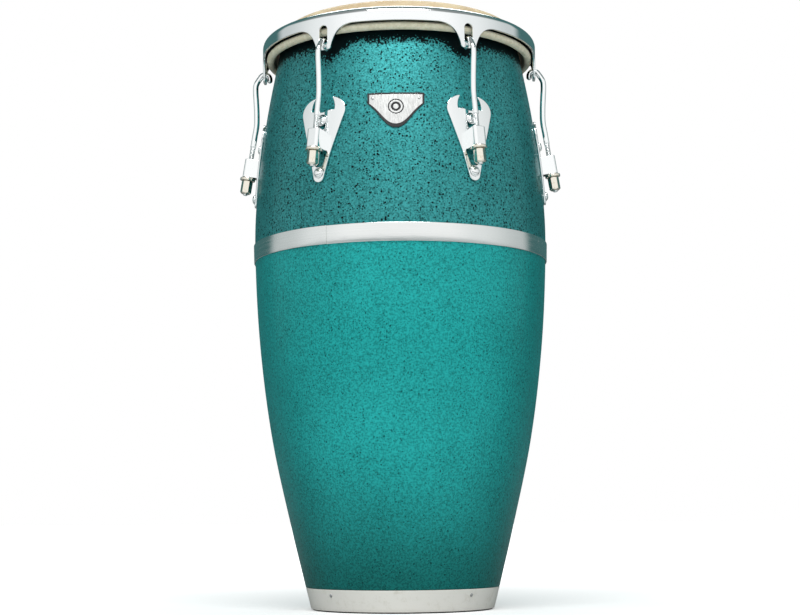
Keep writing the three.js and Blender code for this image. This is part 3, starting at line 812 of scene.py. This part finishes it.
def make_belly_band():
    """One strip with rounded edges, which rises over its own start and ends on top of it."""
    lap = LAP_HALF / shell_radius(SEAM_Z)
    start = FRONT - LUG_STEP / 2 - lap
    sweep = TAU + 2 * lap
    rise = math.radians(14)
    corners = []
    for z, offset in ((BAND_BOTTOM, BAND_SHEET), (BAND_TOP, BAND_SHEET), (BAND_TOP, 0), (BAND_BOTTOM, 0)):
        corners.append((shell_radius(z) + GAP + offset, z))
    section = rounded_outline(corners, 0.5 * MM)
    steps = 300
    verts = []
    for i in range(steps + 1):
        turn = sweep * i / steps
        share = min(max((turn - TAU + rise) / rise, 0), 1)
        lift = (BAND_SHEET + 0.05 * MM) * share * share * (3 - 2 * share)
        angle = start + turn
        for radius, height in section:
            reach_out = radius + lift
            verts.append((reach_out * math.cos(angle), reach_out * math.sin(angle), height))
    mesh = mesh_from("belly_strip", verts, strip_faces(steps, len(section)))
    show("belly_strip", mesh, "drum", [MATERIAL["band"]], ["belly_band"])


def make_base():
    """The collar round the foot, its edges rounded, and the soft ring inside it."""
    outer = shell_line(COLLAR_BOTTOM, COLLAR_TOP, 0, 5 * MM)
    bead = arc(outer[-1][0] - COLLAR_BEAD, outer[-1][1] - COLLAR_BEAD, COLLAR_BEAD, 10, 170, 6)
    foot = arc(outer[0][0] - COLLAR_BEAD, outer[0][1] + COLLAR_BEAD, COLLAR_BEAD, 190, 350, 6)
    inner = list(reversed(shell_line(COLLAR_BOTTOM + 1 * MM, COLLAR_TOP - 1 * MM, -COLLAR_SHEET, 5 * MM)))
    mesh = mesh_from("foot_collar", *revolved(foot + outer[1:-1] + bead + inner, 240))
    show("foot_collar", mesh, "drum", [MATERIAL["collar"]], ["base_collar"])
    inside = FOOT_OUTER - FOOT_WIDTH
    section = [(FOOT_OUTER, FLOOR_Z), (FOOT_OUTER, FOOT_TOP), (inside, FOOT_TOP), (inside, FLOOR_Z)]
    mesh = mesh_from("foot_pad", *revolved(rounded_outline(section, 0.9 * MM), 240))
    show("foot_pad", mesh, "drum", [MATERIAL["rubber"]], ["foot_ring"])


def domed_stud(head, shank, dome, seat, length, flange=0.0):
    """Outline of a bolt, rivet or pin: a dome, on a flange if it has one, over its shank."""
    outline = [(0, seat - length), (shank, seat - length), (shank, seat)]
    if flange:
        outline += [(flange - 0.2 * MM, seat), (flange, seat + 0.25 * MM)]
        outline += [(flange, seat + 0.8 * MM), (flange - 0.4 * MM, seat + 1.05 * MM)]
        outline += [(head + 0.25 * MM, seat + 1.1 * MM)]
        base = seat + 1.1 * MM
    else:
        base = seat
    for i in range(9):
        angle = math.pi / 2 * i / 8
        outline.append((head * math.cos(angle) if i < 8 else 0, base + dome * math.sin(angle)))
    return outline


def make_stud(name, outline, z, angle, replaced):
    """A rivet or pin of bright steel, standing on the shell."""
    verts, faces = revolved(outline, 24)
    mesh = mesh_from(name, moved(verts, shell_frame(z, angle)), faces)
    show(name, mesh, "drum", [MATERIAL["steel"]], [replaced])


def make_rivets():
    """Four rivets hold the collar, between the front, the sides and the back."""
    outline = domed_stud(head=2.2 * MM, shank=1.4 * MM, dome=1 * MM, seat=GAP / 2, length=6 * MM)
    for i in range(4):
        angle = FRONT + (i + 0.5) * math.pi / 2
        make_stud(f"foot_rivet_{i + 1}", outline, RIVET_Z, angle, f"collar_rivet_{i + 1}")


# ---- Badge -------------------------------------------------------------------------------------


def crest(shrink=0.0):
    """Outline in millimetres of the plain crest: straight top, short sides, curved bottom."""
    half = BADGE_HIGH.x / MM
    top = BADGE_HIGH.z / MM
    bottom = BADGE_LOW.z / MM
    side = top - 13
    right = bezier((0, bottom), (half * 0.4, bottom), (half * 0.55, side - 12), (half, side), count=16)
    outline = [(0, bottom), *right, (half, top), (-half, top)]
    outline += [(-x, y) for x, y in reversed(right)]
    middle = (top + bottom) / 2 + 6
    wide = (half - shrink) / half
    tall = (top - middle - shrink) / (top - middle)
    return [(x * wide, middle + (y - middle) * tall) for x, y in outline]


def make_crest_piece(name, flat, thickness, lift, material, replaces=()):
    """A flat piece bent to the shell, its underside at the lift in millimetres above the shell."""
    half = thickness / 2
    mesh = bent(name, flat, half, on_shell(GAP + (half + lift) * MM))
    show(name, mesh, "drum", [MATERIAL[material]], replaces, turn=FRONT)


def make_badge():
    """A black plate, a silver panel on it, and a plain ring round a boss."""
    low, high = BADGE_LOW.z / MM, BADGE_HIGH.z / MM
    half = BADGE_HIGH.x / MM
    across = spaced(-half, half, 3)[1:-1]
    up = spaced(low, high, 5)[1:-1]
    plate = 1.1
    panel = 0.8
    lift = plate - panel / 2
    flat = sliced(flat_sheet([crest()], plate, 0.35), across, up)
    make_crest_piece("crest_plate", flat, plate, 0, "enamel", ["front_badge"])
    middle_z = high - 17.5
    opening = arc(0, middle_z, 9.4, 0, 337.5, 15)
    flat = sliced(flat_sheet([crest(2.4), opening], panel, 0.2), across, up)
    make_crest_piece("crest_panel", flat, panel, lift, "badge")
    ring_radius = 8
    outer = arc(0, middle_z, ring_radius, 0, 352.5, 47)
    inner = arc(0, middle_z, 5.8, 0, 352.5, 47)
    rows = spaced(middle_z - ring_radius, middle_z + ring_radius, 4)
    columns = spaced(-ring_radius, ring_radius, 2)[1:-1]
    flat = sliced(flat_sheet([outer, inner], panel, 0.25), columns, rows)
    make_crest_piece("crest_ring", flat, panel, lift, "badge")
    boss = arc(0, middle_z, 3.2, 0, 345, 23)
    flat = sliced(flat_sheet([boss], panel, 0.3), [-1.5, 0, 1.5], [middle_z])
    make_crest_piece("crest_boss", flat, panel, lift, "badge")
    outline = domed_stud(head=1.8 * MM, shank=1.1 * MM, dome=0.8 * MM, seat=1.75 * MM, length=4 * MM)
    for side, word in ((-1, "left"), (1, "right")):
        angle = FRONT + side * BADGE_PIN_X / shell_radius(BADGE_PIN_Z)
        make_stud(f"crest_pin_{word}", outline, BADGE_PIN_Z, angle, f"badge_pin_{word}")


# ---- Head and rim ------------------------------------------------------------------------------


def head_outline():
    """The skin from the middle of the head over the bearing edge, down and round the hoop."""
    middle = shell_radius(SHELL_TOP - EDGE_ROUNDING) - EDGE_ROUNDING
    playing = [(middle * share, HEAD_TOP) for share in (0, 0.02, 0.1, 0.25, 0.45, 0.65, 0.82, 0.94)]
    over = list(reversed(edge_arc(GAP + SKIN, 14)))
    cr, cz = HEM_CENTRE
    low = RIM_TOP - 9 * MM
    skirt = [(shell_radius(z) + GAP + SKIN, z) for z in spaced(low, over[-1][1] - 2 * MM, 3 * MM)]
    skirt.reverse()
    roll = arc(cr, cz, HEM_RADIUS, 128, -180, 28)
    flare = bezier(skirt[-1], (cr - 7.4 * MM, cz + 10 * MM), (cr - 5 * MM, cz + 5.7 * MM), roll[0], count=10)
    tucked = (shell_radius(low) + 1.2 * MM, low)
    inside = bezier(roll[-1], (cr - 5.4 * MM, cz + 4 * MM), (cr - 8.8 * MM, cz + 9.3 * MM), tucked, count=10)
    under_top = SHELL_TOP - EDGE_ROUNDING - 2 * MM
    under = [(shell_radius(z) + GAP, z) for z in spaced(low + 3 * MM, under_top, 3 * MM)]
    outer_side = playing + over + skirt + flare[:-1] + roll
    return outer_side + inside + under + edge_arc(GAP, 10) + [(0, SHELL_TOP + GAP)]


def make_head():
    """One skin from the playing surface to the hoop, which stretches as the rim moves."""

    def wobble(angle, radius, height):
        where = Vector((radius * math.cos(angle), radius * math.sin(angle), height))
        fold = noise.noise(Vector((math.cos(angle) * 28, math.sin(angle) * 28, height * 160)))
        low = min(max((SHELL_TOP - EDGE_ROUNDING - height) / (14 * MM), 0), 1)
        dip = (1 + noise.noise(where * 24)) * 0.5 * min(1, radius / (20 * MM)) * (1 - low)
        return radius + 0.16 * MM * (fold - 0.6) * low, height - 0.16 * MM * dip

    mesh = mesh_from("head_and_hem", *revolved(head_outline(), 288, wobble))
    piece = show("head_and_hem", mesh, None, [MATERIAL["hide"]], ["drumhead", "head_hem"])
    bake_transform(piece, "drum", "crown", start=(0, 0, RIM_TOP), end=(0, 0, HEM_CENTRE[1] + 5 * MM))
    hoop = arc(HOOP_OUTER - HOOP_RADIUS, HOOP_BOTTOM + HOOP_RADIUS, HOOP_RADIUS, 0, 330, 11)
    mesh = mesh_from("hem_hoop", *revolved(hoop))
    show("hem_hoop", mesh, "crown", [MATERIAL["steel"]], ["flesh_hoop"])


def rim_path():
    """Middle line of the rim's sheet: up the wall, over the round top and down the inner leg to the hem."""
    wall = RIM_OUTER - RIM_SHEET / 2
    ridge = RIM_OUTER - RIM_ROLL
    points = [(wall, EAR_BOTTOM), (wall, RIM_BAND_BOTTOM)]
    points += arc(ridge, RIM_TOP - RIM_ROLL, RIM_ROLL - RIM_SHEET / 2, 0, 90, 14)
    points += arc(ridge, RIM_TOP - RIM_INNER_ROLL, RIM_INNER_ROLL - RIM_SHEET / 2, 90, 180, 10)[1:]
    points.append((RIM_LEG + RIM_SHEET / 2, HEM_CENTRE[1] + HEM_RADIUS + GAP))
    return Path(points)


def ear_loops(length):
    """Outline and slot, in millimetres, of one sixth of the rim's sheet with its ear in the middle."""
    sixth = (RIM_OUTER - RIM_SHEET / 2) / MM * LUG_STEP / 2
    band = (RIM_BAND_BOTTOM - EAR_BOTTOM) / MM
    half = 11.6
    foot = 10.6
    flare = 38
    right = bezier((foot - 5.5, 0), (foot - 0.4, 0), (foot, 5), count=6)
    right += bezier((foot, 5), (half + 3.4, band - 10), (half + 9.4, band - 1.5), (flare, band), count=18)
    left = [(-x, y) for x, y in reversed(right)]
    top = length / MM
    outline = [(foot - 5.5, 0), *right, (sixth + 4, band), (sixth + 4, top)]
    outline += [(-sixth - 4, top), (-sixth - 4, band), *left, (5.5 - foot, 0)]
    width = SLOT_HALF / MM
    slot_low = (SLOT_BOTTOM - EAR_BOTTOM) / MM
    slot_high = (SLOT_TOP - EAR_BOTTOM) / MM - width
    slot = [(-width, slot_low), (width, slot_low), *arc(0, slot_high, width, 0, 180, 16)]
    return outline, slot, sixth


def inside_rim(centre):
    """Whether a point of the rim lies in the channel between its outer wall and its inner leg."""
    radius = math.hypot(centre.x, centre.y)
    within = RIM_LEG + RIM_SHEET - 0.2 * MM < radius < RIM_OUTER - RIM_SHEET + 0.2 * MM
    return within and RIM_BAND_BOTTOM - 1 * MM < centre.z < RIM_TOP - RIM_SHEET + 0.2 * MM


def make_rim():
    """Six bent copies of one cut sheet, joined into the rim with its ears."""
    path = rim_path()
    total = path.lengths[-1]
    outline, slot, sixth = ear_loops(total)
    flat = flat_sheet([outline, slot], RIM_SHEET / MM, 0.6)
    rows = [s / MM for s in path.lengths[1:-1]]
    sliced(flat, across=spaced(-sixth, sixth, 3.0), up=rows)
    for side in (-1, 1):
        geometry = flat.verts[:] + flat.edges[:] + flat.faces[:]
        bmesh.ops.bisect_plane(
            flat,
            geom=geometry,
            dist=1e-5,
            plane_co=(side * sixth, 0, 0),
            plane_no=(side, 0, 0),
            clear_outer=True,
        )
    wall = RIM_OUTER - RIM_SHEET / 2
    copies = []
    for turn in LUG_ANGLES:
        def place(x, y, w, turn=turn):
            point, tangent, normal = path.at(y)
            angle = turn + x / wall
            radial = Vector((math.cos(angle), math.sin(angle), 0))
            up = radial * tangent.x + Vector((0, 0, tangent.y))
            out = radial * normal.x + Vector((0, 0, normal.y))
            where = radial * point.x + Vector((0, 0, point.y)) + out * w
            return where, radial.cross(Vector((0, 0, -1))), up, out

        copies.append(bent("rim_sixth", flat.copy(), RIM_SHEET / MM / 2, place))
    flat.free()
    mesh = join_meshes("crown", copies)
    # the faces inside the channel get the dark plating, which is painted shade
    show("crown", mesh, "crown", [MATERIAL["chrome"], MATERIAL["channel"]], ["crown_rim"])
    two_faced(mesh, inside_rim)


def join_meshes(name, parts):
    """Joins meshes with their own normals, and closes the seams between them."""
    objects = [bpy.data.objects.new(name, part) for part in parts]
    for item in objects:
        bpy.context.scene.collection.objects.link(item)
    with bpy.context.temp_override(active_object=objects[0], selected_editable_objects=objects):
        bpy.ops.object.join()
    mesh = objects[0].data
    at_vertex = [Vector() for _ in mesh.vertices]
    for loop, corner in zip(mesh.loops, mesh.corner_normals):
        at_vertex[loop.vertex_index] = Vector(corner.vector)
    work = bmesh.new()
    work.from_mesh(mesh)
    layer = [work.verts.layers.float.new(axis) for axis in ("nx", "ny", "nz")]
    work.verts.ensure_lookup_table()
    for vert, normal in zip(work.verts, at_vertex):
        for channel, value in zip(layer, normal):
            vert[channel] = value
    bmesh.ops.remove_doubles(work, verts=work.verts, dist=2e-6)
    kept = [Vector([vert[channel] for channel in layer]) for vert in work.verts]
    for channel in layer:
        work.verts.layers.float.remove(channel)
    joined = bpy.data.meshes.new(name)
    work.to_mesh(joined)
    work.free()
    bpy.data.objects.remove(objects[0])
    joined.shade_smooth()
    joined.normals_split_custom_set_from_vertices(kept)
    return joined


# ---- Tuning lugs -------------------------------------------------------------------------------


def plate_loops():
    """The horned plate and its two openings, in millimetres: x round the drum, y the height."""
    low = PLATE_BOTTOM / MM
    high = PLATE_TOP / MM
    tip = 7
    right = [(13.6, low + 33), (29, low + 82)]
    right += bezier((29, low + 82), (32, low + 92), (25, low + 101), (13.2, high), count=14)
    right += bezier((13.2, high), (11.6, high + 0.2), (12.3, high - 1.6), count=4)
    right += bezier((12.3, high - 1.6), (16.4, low + 96), (16, low + 88.6), count=8)
    right += bezier((16, low + 88.6), (15.9, low + 87.4), (14.6, low + 87.6), count=3)
    right += [(8, low + 87.6)]
    dip = bezier((8, low + 87.6), (0, low + 83.6), (-8, low + 87.6), count=10)
    left = [(-x, y) for x, y in reversed(right)]
    outline = arc(0, low + tip, tip, 190, 350, 14) + right + dip[:-1] + left
    radius = 5.2
    upper = arc(0, low + 82.4 - radius, radius, 0, 180, 12)
    upper += arc(0, low + 63.2 + radius, radius, 180, 360, 12)
    lower = bezier((-7.6, low + 37.4), (-10, low + 37.4), (-9.4, low + 34.5), count=5)
    lower += [(-5, low + 20.5)] + bezier((-5, low + 20.5), (-4, low + 18.6), (-2, low + 18.6), count=5)
    lower += [(2, low + 18.6)] + bezier((2, low + 18.6), (4, low + 18.6), (5, low + 20.5), count=5)
    lower += bezier((9.4, low + 34.5), (10, low + 37.4), (7.6, low + 37.4), count=5)
    return [outline, upper, [(-7.6, low + 37.4), *lower]]


def strap_path():
    """Middle line of the U strap seen along the rod: in from one leg, across the front and back."""
    back = -(ROD_RADIUS - shell_radius(ROD_Z) - 1.5 * MM)
    half = STRAP_HALF - STRAP_SHEET / 2
    front = STRAP_FRONT - STRAP_SHEET / 2
    corner = 2.6 * MM
    points = [(back, -half), (back + 2 * MM, -half)]
    points += arc(front - corner, -half + corner, corner, -90, 0, 8)
    points += arc(front - corner, half - corner, corner, 0, 90, 8)
    points += [(back + 2 * MM, half), (back, half)]
    return Path(points)


def make_strap_mesh():
    """A flat strip bent round the rod's line into a U."""
    path = strap_path()
    total = path.lengths[-1] / MM
    low, high = -STRAP_BELOW / MM, STRAP_ABOVE / MM
    flat = flat_sheet([[(0, low), (total, low), (total, high), (0, high)]], STRAP_SHEET / MM, 0.6)
    sliced(flat, across=[s / MM for s in path.lengths[1:-1]])

    def place(x, y, w):
        point, tangent, normal = path.at(x)
        turn = ROD_FRAME.to_3x3()
        spot_at = ROD_FRAME @ Vector((point.x + normal.x * w, point.y + normal.y * w, y))
        along = turn @ Vector((tangent.x, tangent.y, 0))
        out = turn @ Vector((normal.x, normal.y, 0))
        return spot_at, along, turn @ Vector((0, 0, 1)), out

    return bent("strap", flat, STRAP_SHEET / MM / 2, place)


def make_plate_mesh():
    """The side plate bent to the shell, with its strap."""
    flat = flat_sheet(plate_loops(), PLATE_SHEET / MM, 0.7)
    low, high = PLATE_BOTTOM / MM, PLATE_TOP / MM
    sliced(flat, across=spaced(-30, 30, 3)[1:-1], up=spaced(low, high, 6)[1:-1])
    plate = bent("plate", flat, PLATE_SHEET / MM / 2, on_shell(GAP + PLATE_SHEET / 2))
    return join_meshes("horned_plate", [plate, make_strap_mesh()])


def swept(line, radii, sides=24):
    """A bar of changing radius along a line of points in the XZ plane."""
    verts = []
    last = len(line) - 1
    for i, (point, radius) in enumerate(zip(line, radii)):
        tangent = (line[min(i + 1, last)] - line[max(i - 1, 0)]).normalized()
        across = Vector((0, 1, 0))
        other = tangent.cross(across)
        for s in range(sides):
            angle = TAU * s / sides
            size = radius(angle) if callable(radius) else radius
            verts.append(tuple(point + (across * math.cos(angle) + other * math.sin(angle)) * size))
    return verts, strip_faces(last, sides)


def hook_line():
    """Centre line of the hook down to where its thread begins."""
    middle = RIM_OUTER - RIM_SHEET / 2 - HOOK_INSET
    bend_z = SLOT_BOTTOM - (HOOK_BEND - SHANK) + HOOK_LIFT
    line = [(middle - HOOK_BEND, bend_z - HOOK_TIP), (middle - HOOK_BEND, bend_z - HOOK_TIP / 2)]
    line += arc(middle, bend_z, HOOK_BEND, 180, 36, 12)
    line += HOOK_WAIST
    line += [(ROD_RADIUS - math.tan(ROD_TILT) * (z - ROD_Z), z) for z in ROD_HEIGHTS]
    return [Vector((x, 0, z)) for x, z in line]


def smoothed(points):
    """A Catmull-Rom curve through the points."""
    line = []
    last = len(points) - 1
    for i in range(last):
        before = points[max(i - 1, 0)]
        start, end = points[i], points[i + 1]
        after = points[min(i + 2, last)]
        chord = (end - start).length
        slope_in = (end - before) / max((end - before).length, 1e-9) * chord
        slope_out = (after - start) / max((after - start).length, 1e-9) * chord
        steps = max(2, round(chord / (1.2 * MM))) if chord > 3 * MM else 2
        for k in range(steps):
            t = k / steps
            line.append(
                start * (1 + 2 * t) * (1 - t) ** 2
                + slope_in * t * (1 - t) ** 2
                + end * t * t * (3 - 2 * t)
                + slope_out * t * t * (t - 1)
            )
    line.append(points[-1])
    return line


def rod_height(z):
    """Distance along the rod from its reference point to a height."""
    return (z - ROD_Z) / math.cos(ROD_TILT)


WASHER_TOP = -STRAP_BELOW - GAP
NUT_TOP = WASHER_TOP - WASHER_HEIGHT - GAP
NUT_BOTTOM = NUT_TOP - NUT_LENGTH
ROD_END = NUT_BOTTOM - 1.8 * MM


def make_hook_mesh():
    """Round bar with a rounded tip, bent over the ear, turned down to a real helical thread."""
    line = smoothed(hook_line())
    start = line[0]
    radii = []
    for point in line:
        depth = (point - start).length
        radii.append(SHANK if depth > SHANK else SHANK * math.sqrt(max(1 - (1 - depth / SHANK) ** 2, 0.03)))
    top = rod_height(THREAD_TOP)
    step = PITCH / 6
    count = round((top - ROD_END) / step)

    def thread_radius(s):
        fade = min(1, (top - s) / (3 * PITCH), (s - ROD_END) / (1.5 * PITCH))

        def at(angle):
            turn = (s / PITCH + angle / TAU) % 1.0
            ridge = min(max(1.35 - abs(turn * 2 - 1) * 2.4, 0), 1)
            peak = THREAD if s - ROD_END > PITCH else THREAD - (PITCH - (s - ROD_END)) * 0.7
            return THREAD_ROOT + (peak - THREAD_ROOT) * (ridge * max(fade, 0) + 1 - max(fade, 0))

        return at

    for i in range(1, count + 1):
        s = top - i * step
        line.append(ROD_FRAME @ Vector((0, 0, s)))
        radii.append(thread_radius(s))
    return mesh_from("tuning_rod", *swept(line, radii), smooth_angle=math.radians(60))


def make_washer_mesh():
    """A thick round washer with rounded edges."""
    top = WASHER_TOP
    low = top - WASHER_HEIGHT
    bore = 3.6 * MM
    section = [(WASHER_RADIUS, low), (WASHER_RADIUS, top), (bore, top), (bore, low)]
    verts, faces = revolved(rounded_outline(section, 0.9 * MM, 5), 64)
    return mesh_from("round_washer", moved(verts, ROD_FRAME), faces)


def make_nut_mesh():
    """A long hexagon, its corners turned off at both ends, more at the lower one."""
    flat_half = NUT_CORNER * math.cos(math.pi / 6)
    bore = 3.3 * MM
    sides = 96
    heights = [NUT_BOTTOM + d * MM for d in (0, 0.25, 0.6, 1, 1.5, 2, 2.6, 3.2)]
    heights += [NUT_TOP - d * MM for d in (6, 1.4, 0.9, 0.5, 0.2, 0)]

    def limit(z):
        low = flat_half - 1.3 * MM + (z - NUT_BOTTOM) * 1.1
        high = flat_half - 0.2 * MM + (NUT_TOP - z) * 1.2
        return min(low, high)

    verts = []
    for z in [NUT_BOTTOM, *heights, NUT_TOP]:
        for s in range(sides):
            angle = TAU * s / sides
            hexagon = flat_half / math.cos((angle % (math.pi / 3)) - math.pi / 6)
            verts.append([min(hexagon, limit(z), NUT_CORNER - 0.12 * MM), angle, z])
    for s in range(sides):
        verts[s][0] = bore
        verts[len(verts) - sides + s][0] = bore
    points = [(r * math.cos(a), r * math.sin(a), z) for r, a, z in verts]
    rows = len(verts) // sides
    faces = []
    for i in range(rows):
        j = (i + 1) % rows
        for s in range(sides):
            t = (s + 1) % sides
            faces.append([i * sides + s, i * sides + t, j * sides + t, j * sides + s])
    return mesh_from("long_nut", moved(points, ROD_FRAME), faces, math.radians(20))


def make_bolt_mesh(which):
    """A flanged, domed bolt through the side plate and the shell."""
    seat = PLATE_SHEET + 2 * GAP
    length = seat + SHELL_WALL + 5.5 * MM
    outline = domed_stud(5.3 * MM, 2.6 * MM, dome=2.4 * MM, seat=seat, length=length, flange=6.3 * MM)
    verts, faces = revolved(outline, 48)
    return mesh_from(f"{which}_screw", moved(verts, shell_frame(BOLT_HEIGHTS[which])), faces)


def make_backing_mesh():
    """The strip inside the shell that takes both bolts."""
    low, high = BACKING_BOTTOM / MM, BACKING_TOP / MM
    half = 11
    corner = 3
    sheet = 2.5
    inset = half - corner
    centres = [(inset, low + corner), (inset, high - corner), (-inset, high - corner), (-inset, low + corner)]
    outline = []
    for quarter, (x, y) in enumerate(centres):
        start = 90 * quarter - 90
        outline += arc(x, y, corner, start, start + 90, 5)
    holes = [arc(0, z / MM, 3.2, 0, 345, 23) for z in BOLT_HEIGHTS.values()]
    flat = flat_sheet([outline, *holes], sheet, 0.4)
    sliced(flat, across=spaced(-half, half, 3)[1:-1], up=spaced(low, high, 7)[1:-1])
    return bent("inner_strap", flat, sheet / 2, on_shell(-SHELL_WALL - GAP - sheet / 2 * MM))


def make_lugs():
    """Every kind of lug piece once as a mesh, shared by the six lugs."""
    kinds = [
        ("horned_plate", make_plate_mesh(), "chrome", "lug_chrome", "side_plate", None),
        ("upper_screw", make_bolt_mesh("upper"), "chrome", "lug_chrome", "upper_bolt", None),
        ("lower_screw", make_bolt_mesh("lower"), "chrome", "lug_chrome", "lower_bolt", None),
        ("inner_strap", make_backing_mesh(), "zinc", "backing_steel", "backing_plate", None),
        ("tuning_rod", make_hook_mesh(), "chrome", "lug_chrome", "tuning_hook", "hook"),
        ("round_washer", make_washer_mesh(), "nickel", "nut_nickel", "washer", None),
        ("long_nut", make_nut_mesh(), "nickel", "nut_nickel", "tuning_nut", "nut"),
    ]
    for i, turn in enumerate(LUG_ANGLES, start=1):
        for name, mesh, material, slot, replaced, body in kinds:
            rides_on = f"{body}_{i}" if body else "drum"
            show(f"{name}_{i}", mesh, rides_on, [MATERIAL[material]], [f"{replaced}_{i}"], turn)


# ---- Stage -------------------------------------------------------------------------------------


def make_floor():
    """A pale floor, whose far parts glow as white as the room, so that no horizon shows.

    It throws less light on the drum than its paleness would, above all from close by and from behind.
    """
    size = 30
    corners = [(-size, -size, 0), (size, -size, 0), (size, size, 0), (-size, size, 0)]
    mesh = bpy.data.meshes.new("floor")
    mesh.from_pydata(corners, [], [[0, 1, 2, 3]])
    material, tree = new_material("pale_floor")
    place = node(tree, "ShaderNodeTexCoord").outputs["Object"]
    distance = node(tree, "ShaderNodeVectorMath", {0: place}, operation="LENGTH").outputs["Value"]
    seen = node(tree, "ShaderNodeLightPath").outputs["Is Camera Ray"]
    glow = maths(tree, "MULTIPLY", ramp(tree, distance, 0.1, 1.6, 0.35, 1.0), seen)
    tone = ramp(tree, clouds(tree, 3, 2), 0.3, 0.7, 0.76, 0.80)
    backward = node(tree, "ShaderNodeSeparateXYZ", {"Vector": place}).outputs[1]
    behind = ramp(tree, backward, -0.35, 0.1, 1.0, 0.4)
    lit = maths(tree, "MULTIPLY", ramp(tree, distance, 0.12, 0.4, 0.6, 0.85), behind)
    shade = maths(tree, "ADD", maths(tree, "MULTIPLY", maths(tree, "SUBTRACT", tone, lit), seen), lit)
    colour = node(tree, "ShaderNodeCombineColor", {0: shade, 1: shade, 2: shade}).outputs[0]
    finish_material(
        tree,
        Base_Color=colour,
        Roughness=0.9,
        Emission_Color=(1, 1, 1, 1),
        Emission_Strength=glow,
    )
    mesh.materials.append(material)
    floor = bpy.data.objects.new("floor", mesh)
    bpy.context.scene.collection.objects.link(floor)


def make_world():
    """A studio: brightest in front, pale at the sides up to a height, dim green-grey behind and above."""
    world = bpy.data.worlds.new("studio")
    bpy.context.scene.world = world
    world.use_nodes = True
    tree = world.node_tree
    tree.nodes.clear()
    direction = node(tree, "ShaderNodeTexCoord").outputs["Generated"]
    axes = node(tree, "ShaderNodeSeparateXYZ", {"Vector": direction}).outputs
    wall = maths(tree, "MULTIPLY", ramp(tree, axes[2], 0.62, 0.5), ramp(tree, axes[1], 0.54, 0.34))
    front = ramp(tree, axes[1], -0.45, -0.8)
    above = blended(tree, ramp(tree, axes[1], 0.5, -0.3), (0.06, 0.15, 0.15, 1), (0.26, 0.28, 0.28, 1))
    beside = blended(tree, ramp(tree, axes[1], 0.35, -0.5), (0.56, 0.60, 0.60, 1), (0.88, 0.90, 0.90, 1))
    colour = blended(tree, wall, above, beside)
    colour = blended(tree, front, colour, (1.05, 1.05, 1.05, 1))
    light = node(tree, "ShaderNodeBackground", {"Color": colour, "Strength": 1.0})
    seen = node(tree, "ShaderNodeBackground", {"Color": (1, 1, 1, 1), "Strength": 1.0})
    path = node(tree, "ShaderNodeLightPath").outputs["Is Camera Ray"]
    mixed = node(tree, "ShaderNodeMixShader", {0: path, 1: light.outputs[0], 2: seen.outputs[0]})
    node(tree, "ShaderNodeOutputWorld", {"Surface": mixed.outputs[0]})


def softbox(name, place, target, width, height, brightness):
    """An area light of an even brightness over its face."""
    data = bpy.data.lights.new(name, "AREA")
    data.shape = "RECTANGLE"
    data.size = width
    data.size_y = height
    data.energy = brightness * math.pi * width * height
    lamp = bpy.data.objects.new(name, data)
    lamp.location = place
    lamp.rotation_mode = "QUATERNION"
    lamp.rotation_quaternion = (Vector(target) - Vector(place)).to_track_quat("-Z", "Y")
    lamp.visible_camera = False
    bpy.context.scene.collection.objects.link(lamp)


def make_lights():
    """One softbox above the front and a weaker one above the back."""
    softbox("key", (0, -1.5, 2.6), (0, 0, 0.55), 1.6, 0.6, 14)
    softbox("back", (0, 1.6, 2.8), (0, 0, 0.45), 1.8, 0.8, 4)


def make_camera():
    """Low in front of the drum, a little to its right, tipped up towards the head."""
    distance = 2.062
    height = 0.110
    aside = -1.0 * MM
    azimuth = math.radians(1.4)
    pitch = math.radians(7.26)
    roll = math.radians(-0.4)
    data = bpy.data.cameras.new("camera")
    data.sensor_width = 36
    data.lens = 74.5
    camera = bpy.data.objects.new("camera", data)
    orbit = Matrix.Rotation(azimuth, 4, "Z") @ Matrix.Translation((aside, -distance, height))
    camera.matrix_world = orbit @ Matrix.Rotation(math.pi / 2 + pitch, 4, "X") @ Matrix.Rotation(roll, 4, "Z")
    bpy.context.scene.collection.objects.link(camera)
    bpy.context.scene.camera = camera


make_camera()
make_upper_shell()
make_lower_shell()
make_seam_sleeve()
make_belly_band()
make_base()
make_rivets()
make_badge()
make_head()
make_rim()
make_lugs()
make_floor()
make_world()
make_lights()
bpy.context.scene.view_settings.view_transform = "Standard"
